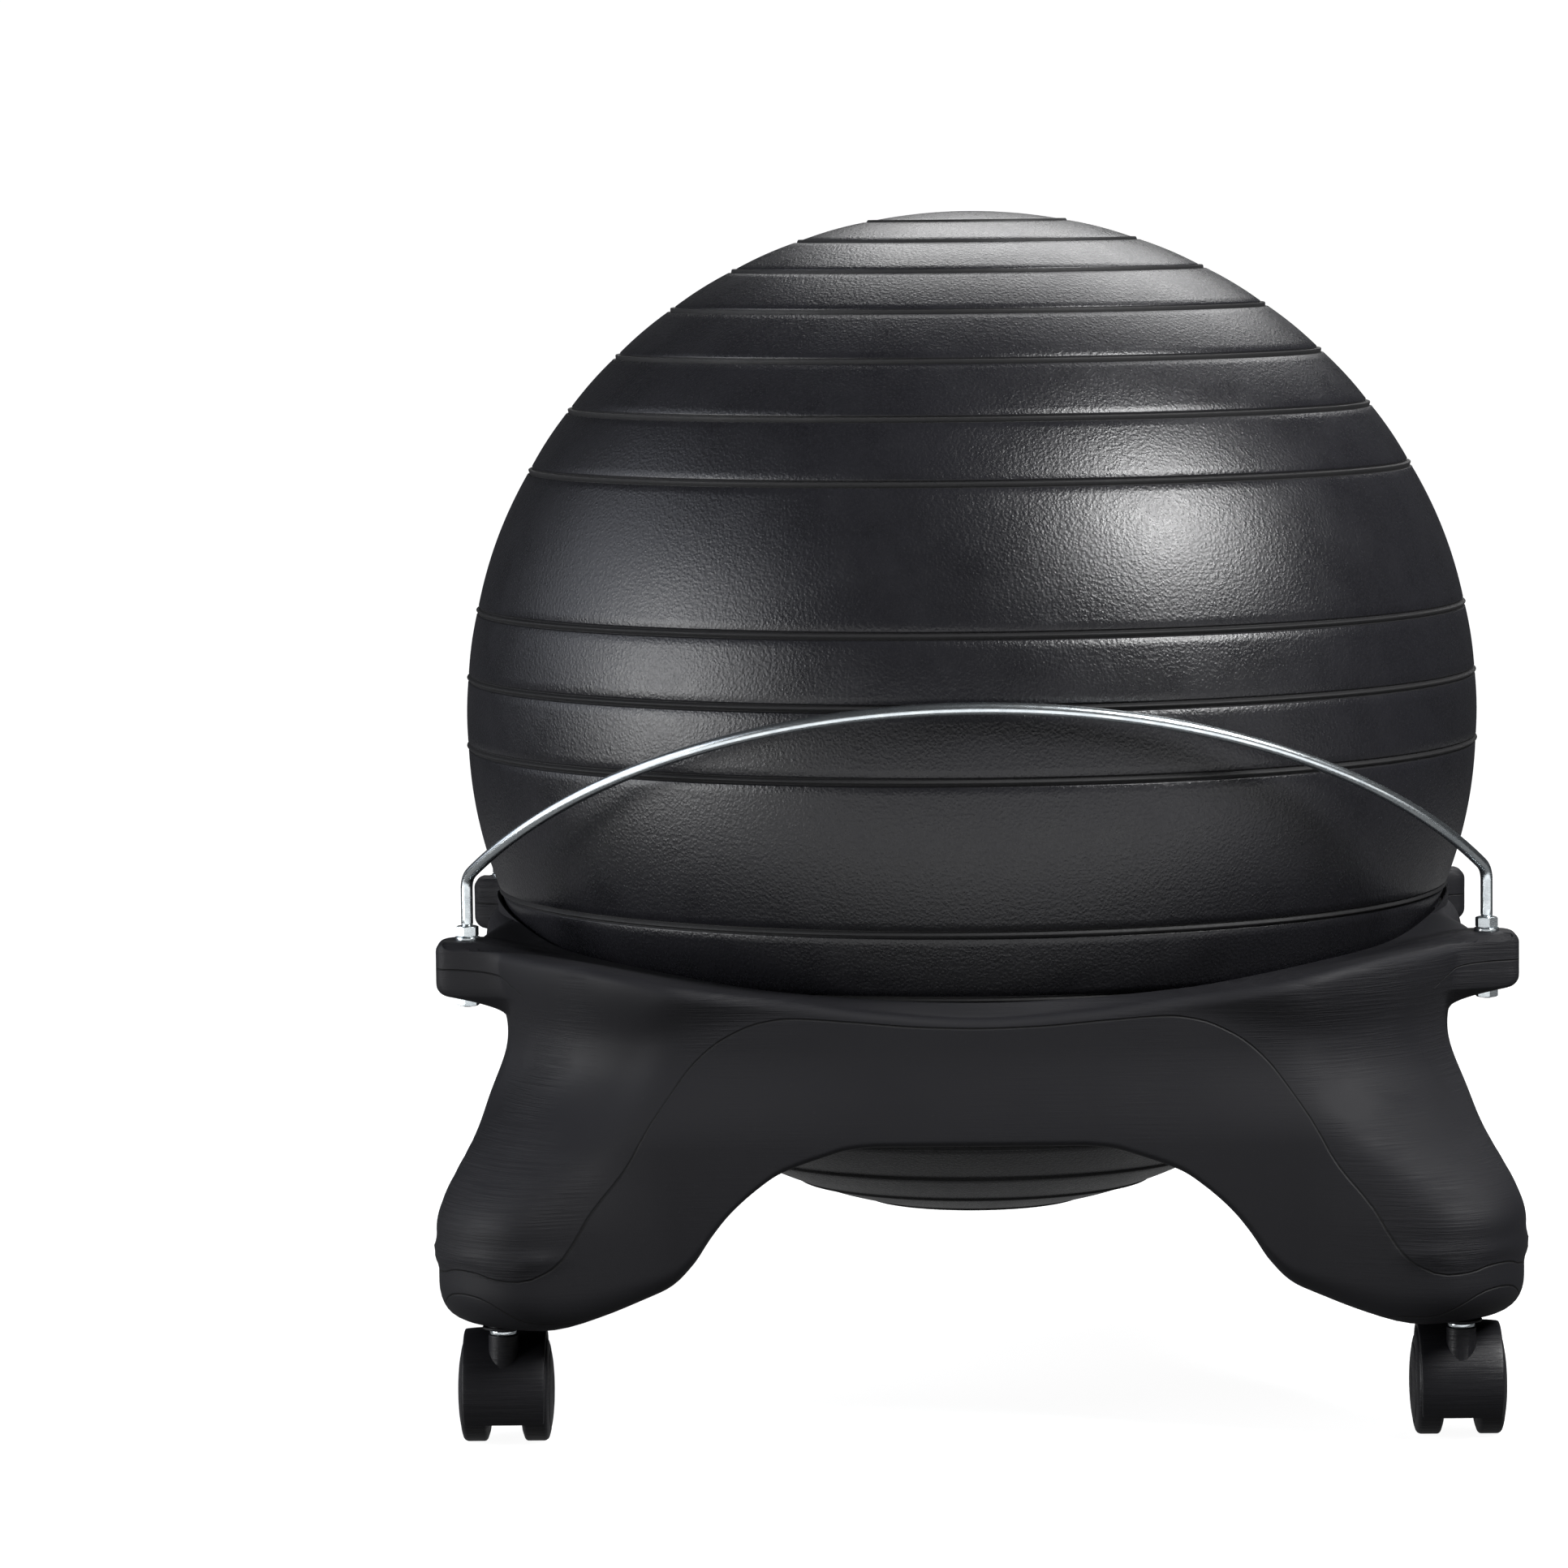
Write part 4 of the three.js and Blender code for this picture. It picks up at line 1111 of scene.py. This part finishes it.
@dataclass
class SupportBars:
    """The front and rear bars: bent round rod, threaded where it goes through the ears."""

    finishes: Finishes
    ear: Ear
    low_end: float = 205.7
    bend_height: float = 270.0
    rise: float = 90.5
    apex_place: float = 265.565
    rod_radius: float = 3.0
    bend_radius: float = 10.0
    thread_top: float = 247.2
    thread_pitch: float = 1.0
    thread_depth: float = 0.3
    stations_per_turn: int = 8
    end_length: float = 0.8
    end_taper: float = 0.7
    segments: int = 28

    def lean(self) -> np.ndarray:
        """The way from the middle between the bends to the top of the arc."""
        return np.array([0.0, self.ear.spacing / 2 - self.apex_place, self.rise])

    def line(self) -> np.ndarray:
        """The bar's middle line, from one lower end to the other.

        It goes straight up, round a short bend, and then along one circular arc in the plane that holds both
        bends and the top of the arc in front of the ball.

        Returns:
            The stations in millimetres, n by 3.
        """
        half = self.ear.place
        lean = self.lean()
        sagitta = np.linalg.norm(lean)
        radius = (half ** 2 + sagitta ** 2) / (2 * sagitta)
        half_angle = math.asin(half / radius)
        forward = lean / sagitta
        trim = self.bend_radius * math.tan(math.pi / 6)

        def on_arc(a: np.ndarray) -> np.ndarray:
            """Points of the arc at angles from its middle."""
            a = np.atleast_1d(a)[:, None]
            foot = np.array([0.0, -self.ear.spacing / 2, self.bend_height])
            outwards = forward * (radius * np.cos(a) - (radius - sagitta))
            return foot + outwards + np.array([1.0, 0, 0]) * radius * np.sin(a)

        corner = on_arc(-half_angle)[0]
        start, end = corner - [0, 0, trim], on_arc(-half_angle + trim / radius)[0]
        steps = int((self.thread_top - self.low_end) * self.stations_per_turn / self.thread_pitch)
        heights = np.concatenate([np.linspace(self.low_end, self.thread_top, steps),
                                  np.linspace(self.thread_top, start[2], 7)[1:-1]])
        leg = np.stack([corner[0] + 0 * heights, corner[1] + 0 * heights, heights], axis=1)
        t = np.linspace(0, 1, 13)[:, None]
        bend = (1 - t) ** 2 * start + 2 * t * (1 - t) * corner + t * t * end
        left = np.concatenate([leg, bend])
        inside = half_angle - trim / radius
        arc = on_arc(np.linspace(-inside, inside, 121))[1:-1]
        return np.concatenate([left, arc, left[::-1] * [-1, 1, 1]])

    def radii(self, line: np.ndarray) -> np.ndarray:
        """Radius round each station: the rod's, less the thread's depth times a climbing wave."""
        turn = np.linspace(0, 1, self.segments, endpoint=False)[None, :]
        z = line[:, 2][:, None]
        wave = 0.5 - 0.5 * np.cos(2 * np.pi * (z / self.thread_pitch - turn))
        cut = np.where(z < self.thread_top, self.thread_depth, 0.0)
        end = np.clip((z - self.low_end) / self.end_length, 0.0, 1.0)
        return self.rod_radius - cut * wave - self.end_taper * (1 - end) + 0 * turn

    def build(self) -> None:
        """Builds the front bar and turns it half round for the rear one."""
        line = self.line()
        _, forward, up = self.lean()
        tube = tube_along(line, self.radii(line), (0.0, -up, forward))
        for name, turn in (("front_support_bar", 0.0), ("rear_support_bar", math.pi)):
            bar = grid_mesh(f"{name}_rod", tube, Surface.CAPPED, Matrix.Rotation(turn, 4, "Z"))
            settle(bar, "base", "zinc", self.finishes.zinc, name)


@dataclass
class BarHardware:
    """A washer and two hexagon nuts on each end of the bars."""

    finishes: Finishes
    ear: Ear
    hole: float = 3.02
    across_flats: float = 10.0
    chamfer: float = 0.55
    mouth: float = 0.45
    face_share: float = 0.96
    washer_radius: float = 6.2
    washer: tuple = (239.0, 240.7)
    upper_nut: tuple = (240.75, 246.0)
    lower_nut: tuple = (206.3, 211.5)
    first_turn: float = 17.0
    turn_step: float = 23.0

    def nut(self, low: float, high: float) -> np.ndarray:
        """A hexagon nut as a grid.

        The outside's radius is the smaller of the hexagon's, which is half its flats over the cosine of the
        turn from the flat's middle, and a cone's that takes off the corners above and below.

        Args:
            low: height of its lower face.
            high: height of its upper face.

        Returns:
            A grid of points in millimetres that closes on itself both ways.
        """
        a = np.linspace(0, 2 * np.pi, 96, endpoint=False)
        flat = self.across_flats / 2
        hexagon = flat / np.cos(np.mod(a, np.pi / 3) - np.pi / 6)
        corner = flat / math.cos(math.pi / 6)
        ring = flat * self.face_share
        cone = np.linspace(0, 1, 6)
        mouth = self.hole + self.mouth
        end = np.concatenate([[self.hole, mouth, ring - 0.6], between(ring, corner, cone)])
        rise = np.concatenate([[self.mouth, 0.0, 0.0], self.chamfer * cone])
        limit = np.concatenate([end, end[::-1]])
        z = np.concatenate([low + rise, (high - rise)[::-1]])
        return polar(np.minimum(hexagon[None, :], limit[:, None]), a, z[:, None])

    def washer_ring(self) -> np.ndarray:
        """A stamped washer: a flat ring with one edge more rounded than the other."""
        low, high = self.washer
        middle = (low + high) / 2
        inner, outer = self.hole + 0.3, self.washer_radius
        return turned(rounded_profile([
            (inner, middle, 0), (inner, low, 0.15), (outer, low, 0.2), (outer, high, 0.5),
            (inner, high, 0.25), (inner, middle + 0.01, 0),
        ]), 72)

    def build(self) -> None:
        """Places the three pieces at each ear, with the nuts turned a little from one ear to the next."""
        for i, corner in enumerate(Corner):
            x, y = corner.value
            spot = shift(x * self.ear.place, y * self.ear.spacing / 2)
            turn = Matrix.Rotation(math.radians(self.first_turn + self.turn_step * i), 4, "Z")
            grids = {"bar_washer": self.washer_ring(), "bar_upper_nut": self.nut(*self.upper_nut),
                     "bar_lower_nut": self.nut(*self.lower_nut)}
            for kind, grid in grids.items():
                name = f"{corner.label}_{kind}"
                piece = grid_mesh(f"{name}_piece", grid, Surface.TORUS, spot @ turn)
                settle(piece, "base", "zinc", self.finishes.zinc, name)


# The casters


@dataclass
class Casters:
    """Four twin-wheel casters, each shaped with its stem on the z axis and its wheels trailing towards +y."""

    finishes: Finishes
    trail: float = 19.0
    axle_height: float = 25.183
    wheel_radius: float = 25.18
    wheel_width: float = 14.0
    wheel_dome: float = 1.6
    wheel_offset: float = 7.9
    fender_inner: float = 27.4
    fender_outer: float = 30.4
    fender_half: float = 20.15
    fender_low_half: float = 19.3
    front_angle: float = 205.0
    rear_angle: float = 25.0
    fender_crown: float = 0.7
    fender_edge: float = 0.07
    web_width: float = 15.0
    web_inset: float = 0.9
    web_easing: tuple = (0.6, 0.18)
    web_low_angle: float = -15.0
    boss_radius: float = 7.2
    boss_low: float = 34.5
    boss_top: float = 55.8
    stem_radius: float = 5.5
    stem_shoulder: float = 6.6
    shoulder_top: float = 58.1
    grip_groove: tuple = (84.0, 84.4, 87.0, 87.4)
    shaft_top: float = 92.5
    stem_top: float = 94.0
    flange_low: float = 58.7
    flange_high: float = 59.8
    socket_flange: float = 10.0
    socket_outer: float = 7.6
    socket_bore: float = 5.8
    socket_top: float = 98.0

    def round_axle(self, x: np.ndarray, radius: np.ndarray, angle: np.ndarray) -> np.ndarray:
        """Points in millimetres at a radius and angle round the axle, across the caster by x."""
        y, z = self.trail + radius * np.cos(angle), self.axle_height + radius * np.sin(angle)
        return np.stack([x + 0 * radius, y, z], axis=-1)

    def fender(self) -> Piece:
        """The curved cover over both wheels.

        A rounded band's section, with a slight crown across it, is carried round the axle from the front edge
        over the top to the rear one, and narrows a little towards both edges.

        Returns:
            The closed piece.
        """
        section = self.band_section()
        theta = np.radians(np.linspace(self.front_angle, self.rear_angle, 61))[:, None]
        ease = np.sin(np.clip((theta - theta.min()) / (theta.max() - theta.min()), 0, 1) * np.pi) ** 0.5
        half = between(self.fender_low_half, self.fender_half, ease)
        points = self.round_axle(section[:, 0][None, :] * half, section[:, 1][None, :] + 0 * theta, theta)
        return grid_mesh("fender", points, Surface.CAPPED)

    def band_section(self) -> np.ndarray:
        """The cover's section: shares of the half-width against radius, going round from the outer middle."""
        t = np.linspace(-1, 1, 25)
        crown = self.fender_outer - self.fender_crown * t ** 4
        edge = self.fender_edge / 2
        top = np.stack([t * (1 - edge), crown], axis=1)
        turn = np.linspace(0, np.pi, 9)[1:-1]
        side = self.fender_outer - self.fender_crown
        middle, deep = (side + self.fender_inner) / 2, (side - self.fender_inner) / 2
        right = np.stack([1 - edge + edge * np.sin(turn), middle + deep * np.cos(turn)], axis=1)
        under = np.stack([t[::-1] * (1 - edge), self.fender_inner + 0 * t], axis=1)
        left = np.stack([-right[::-1, 0], right[::-1, 1]], axis=1)
        return np.concatenate([top, right, under, left])

    def web(self) -> Piece:
        """The wall between the wheels: the part of the cover's disc above a chord, with eased edges."""
        theta = np.radians(np.linspace(self.web_low_angle, self.front_angle - 1.0, 72))
        half = self.web_width / 2
        wide, fine = self.web_easing
        inset = np.array([wide, fine, 0.0, 0.0, fine, wide])
        x = np.array([-half, -half + fine, -half + wide, half - wide, half - fine, half])
        radius = self.fender_outer - self.web_inset - inset[:, None] + 0 * theta
        points = self.round_axle(x[:, None], radius, theta)
        return grid_mesh("web", points, Surface.CAPPED)

    def boss(self) -> Piece:
        """The post in front of the cover that holds the stem: a cylinder with a round lower end."""
        pocket = self.stem_radius - 0.3
        floor = self.boss_top - 3.5
        profile = rounded_profile([
            (POLE, self.boss_low, 0), (self.boss_radius, self.boss_low, 5.5),
            (self.boss_radius, self.boss_top, 0.7), (pocket, self.boss_top, 0.3), (pocket, floor, 0.2),
            (POLE, floor, 0),
        ], 8)
        return grid_mesh("boss", turned(profile, 56), Surface.CAPPED)

    def hood(self) -> Piece:
        """The hood: cover, web and boss joined."""
        hood = combined(self.fender(), "UNION", [self.web(), self.boss()])
        hood.name = "caster_hood_form"
        return hood

    def wheel(self) -> np.ndarray:
        """A wheel turned about +Z, from its inner face at 0 to its domed outer face.

        Returns:
            A grid of points in millimetres.
        """
        r, w = self.wheel_radius, self.wheel_width
        return turned(rounded_profile([
            (POLE, w - 2.7, 0), (3.3, w - 2.7, 0), (3.3, 0.4, 0), (3.7, 0.0, 0), (8.0, 0.0, 0.3),
            (8.6, 0.7, 0.3), (17.6, 0.7, 0.3), (18.2, 0.0, 0.3), (20.5, 0.0, 1.0), (r - 0.8, 1.3, 0.7),
            (r, 2.3, 0.6), (r, w - 2.8, 0.9), (r - 1.0, w - 1.3, 0.9), (r - 4.2, w - 0.3, 1.2),
            (r - 5.2, w - 0.25, 0.25), (r - 5.6, w - 0.75, 0.2), (r - 6.2, w - 0.65, 0.2),
            (r - 6.6, w + 0.05, 0.3), (15.0, w + 0.7, 2.0), (8.0, w + 1.35, 2.0), (7.4, w + 1.1, 0.2),
            (6.8, w + 1.35, 0.2), (POLE, w + self.wheel_dome, 0),
        ], 5), 96)

    def stem(self) -> np.ndarray:
        """The stem: a neck in the boss, a bright shoulder under the foot, and a shaft with a grip groove."""
        low, seat = self.boss_top - 3.2, self.boss_top + 0.25
        shaft, shoulder = self.stem_radius, self.stem_shoulder
        neck, groove = shaft - 1.0, shaft - 0.8
        a, b, c, d = self.grip_groove
        return turned(rounded_profile([
            (POLE, low, 0), (neck, low, 0.3), (neck, seat, 0), (shoulder, seat, 0.4),
            (shoulder, self.shoulder_top, 0.6), (shaft, self.shoulder_top, 0), (shaft, a, 0.2),
            (groove, b, 0.2), (groove, c, 0.2), (shaft, d, 0.2), (shaft, self.shaft_top, 1.2),
            (POLE, self.stem_top, 0),
        ]), 56)

    def socket(self) -> np.ndarray:
        """The sleeve that the stem is pressed into, with a thin flange under the foot."""
        bore, flange, outer = self.socket_bore, self.socket_flange, self.socket_outer
        low, high, top = self.flange_low, self.flange_high, self.socket_top
        return turned(rounded_profile([
            (bore, 75.0, 0), (bore, low, 0.3), (flange, low, 0.4), (flange, high, 0.2), (outer, high, 0),
            (outer, top, 0.4), (bore, top, 0.4), (bore, 75.01, 0),
        ]), 56)

    def axle(self) -> np.ndarray:
        """The axle pin, with rounded ends, that both wheels turn on."""
        half = self.wheel_offset + self.wheel_width - 3.2
        corners = [(POLE, -half, 0), (3.0, -half, 0.5), (3.0, half, 0.5), (POLE, half, 0)]
        return turned(rounded_profile(corners), 40)

    def build(self) -> None:
        """Builds each form once and puts it at the four corners."""
        hood = self.hood()
        nylon = self.finishes.nylon
        for corner in Corner:
            x, y = corner.value
            name = corner.label
            turn = Matrix.Rotation(0.0 if y < 0 else math.pi, 4, "Z")
            spot = shift(x * CASTER_PLACE, y * CASTER_PLACE) @ turn
            at_axle = spot @ shift(0, self.trail, self.axle_height)
            outward = x if y < 0 else -x
            body = f"{name}_caster"
            cover = copy_of(hood, f"{name}_caster_cover", spot)
            settle(cover, body, "caster_nylon", nylon, f"{name}_caster_hood")
            across = at_axle @ Matrix.Rotation(math.pi / 2, 4, "Y")
            parts = (("stem", self.stem(), spot, body, "steel", self.finishes.bright, Surface.CAPPED),
                     ("axle", self.axle(), across, body, "steel", self.finishes.steel, Surface.CAPPED),
                     ("socket", self.socket(), spot, "base", "caster_nylon", nylon, Surface.TORUS))
            for part, grid, matrix, owner, slot, material, surface in parts:
                piece = grid_mesh(f"{name}_caster_{part}_piece", grid, surface, matrix)
                settle(piece, owner, slot, material, f"{name}_caster_{part}")
            for part, side in (("outer_wheel", outward), ("inner_wheel", -outward)):
                face = Matrix.Rotation(side * math.pi / 2, 4, "Y")
                face = at_axle @ (face @ Matrix.Translation((0, 0, self.wheel_offset * MM)))
                wheel = grid_mesh(f"{name}_{part}_disc", self.wheel(), Surface.CAPPED, face)
                settle(wheel, f"{name}_{part}", "caster_nylon", nylon, f"{name}_caster_{part}")
        bpy.data.objects.remove(hood)


# The stage


@dataclass
class Studio:
    """Camera, light and backdrop of a plain studio."""

    distance: float = 3.300
    camera_height: float = 0.600
    pan: float = 1.682
    tilt: float = 5.17
    roll: float = -0.625
    chair_turn: float = 0.713
    focal_pixels: float = 7891.0
    floor_half: float = 9.0
    floor_end: float = -0.5
    sweep_start: float = 2.2
    sweep_radius: float = 2.5
    room_colour: tuple = (0.93, 0.95, 1, 1)
    room_strength: float = 0.04

    def build_camera(self) -> None:
        """The camera, where the photograph's stood: round the chair by its turn, then panned and tilted."""
        data = bpy.data.cameras.new("camera")
        data.sensor_fit = "HORIZONTAL"
        data.sensor_width = SENSOR_WIDTH
        data.lens = self.focal_pixels / PHOTO_SIDE * SENSOR_WIDTH
        data.clip_start, data.clip_end = 0.1, 60.0
        camera = bpy.data.objects.new("camera", data)
        bpy.context.scene.collection.objects.link(camera)
        turn = Matrix.Rotation(math.radians(-self.chair_turn), 4, "Z")
        place = Matrix.Translation((0, -self.distance, self.camera_height))
        pan = Matrix.Rotation(math.radians(self.pan), 4, "Z")
        tilt = Matrix.Rotation(math.radians(90.0 - self.tilt), 4, "X")
        roll = Matrix.Rotation(math.radians(self.roll), 4, "Z")
        camera.matrix_world = turn @ place @ pan @ tilt @ roll
        bpy.context.scene.camera = camera

    def add_sheet(self, name: str, y: np.ndarray, z: np.ndarray, material: Finish, mirrored: bool) -> None:
        """A sheet of the backdrop as wide as the studio.

        Args:
            name: the sheet's name.
            y: place of each crosswise line of its points.
            z: height of each line.
            material: its material.
            mirrored: whether the chair's gloss shows it.
        """
        x = np.array([-self.floor_half, self.floor_half])
        points = np.stack([x[None, :] + 0 * y[:, None], y[:, None] + 0 * x, z[:, None] + 0 * x], axis=-1)
        mesh = bpy.data.meshes.new(name)
        faces = [(2 * i, 2 * i + 1, 2 * i + 3, 2 * i + 2) for i in range(len(y) - 1)]
        mesh.from_pydata(points.reshape(-1, 3).tolist(), [], faces)
        mesh.polygons.foreach_set("use_smooth", [True] * len(faces))
        mesh.materials.append(material)
        sheet = bpy.data.objects.new(name, mesh)
        bpy.context.scene.collection.objects.link(sheet)
        sheet.visible_glossy = mirrored
        sheet.visible_diffuse = False
        sheet.visible_shadow = False

    def build_backdrop(self) -> None:
        """A floor, and a sheet that goes on from it: flat, a quarter circle, then upright."""
        backdrop = StudioFloor().build()
        self.add_sheet("floor", np.array([-self.floor_half, self.floor_end]), np.zeros(2), backdrop, True)
        bend = np.linspace(0, np.pi / 2, 24)
        y = np.concatenate([[self.floor_end], self.sweep_start + self.sweep_radius * np.sin(bend)])
        z = np.concatenate([[0.0], self.sweep_radius * (1 - np.cos(bend))])
        self.add_sheet("sweep", np.append(y, y[-1]), np.append(z, 2 * self.floor_half), backdrop, False)

    def add_softbox(self, name: str, place: tuple, target: tuple, size: tuple, power: float,
                    colour: tuple = (1, 1, 1)) -> None:
        """A rectangular light aimed at a point."""
        data = bpy.data.lights.new(name, "AREA")
        data.shape = "RECTANGLE"
        data.size, data.size_y = size
        data.energy = power
        data.color = colour
        light = bpy.data.objects.new(name, data)
        light.location = place
        light.rotation_euler = (Vector(target) - Vector(place)).to_track_quat("-Z", "Y").to_euler()
        bpy.context.scene.collection.objects.link(light)

    def build_lights(self) -> None:
        """A key light on the right, a broad one and a weak fill on the left, one behind, and a dim room."""
        self.add_softbox("key_softbox", (1.45, -1.08, 1.92), (0, 0, 0.36), (0.85, 0.95), 98)
        self.add_softbox("left_softbox", (-2.26, -0.85, 0.52), (0, 0, 0.36), (1.3, 1.3), 40)
        self.add_softbox("left_fill", (-2.4, -0.25, 1.2), (0, 0, 0.4), (2.7, 1.6), 22, (0.86, 0.9, 1))
        self.add_softbox("back_softbox", (0.35, 1.55, 2.05), (0, 0, 0.45), (1.6, 1.4), 30)
        self.add_softbox("floor_glow", (0, 0.55, -0.03), (0, 0.55, 1.0), (2.4, 1.8), 2.2)
        world = bpy.data.worlds.new("studio_room")
        world.use_nodes = True
        background = world.node_tree.nodes["Background"]
        background.inputs["Color"].default_value = self.room_colour
        background.inputs["Strength"].default_value = self.room_strength
        bpy.context.scene.world = world
        bpy.context.scene.view_settings.view_transform = "Standard"

    def build(self) -> None:
        """Builds the camera, the backdrop and the lights."""
        self.build_camera()
        self.build_backdrop()
        self.build_lights()


def main() -> None:
    logging.basicConfig(level=logging.INFO, format="%(message)s")
    Studio().build()
    finishes = Finishes()
    ball, ear = Ball(finishes), Ear()
    ball.build()
    MouldedBase(finishes, ball, ear).build()
    SupportBars(finishes, ear).build()
    BarHardware(finishes, ear).build()
    Casters(finishes).build()


if __name__ == "__main__":
    main()
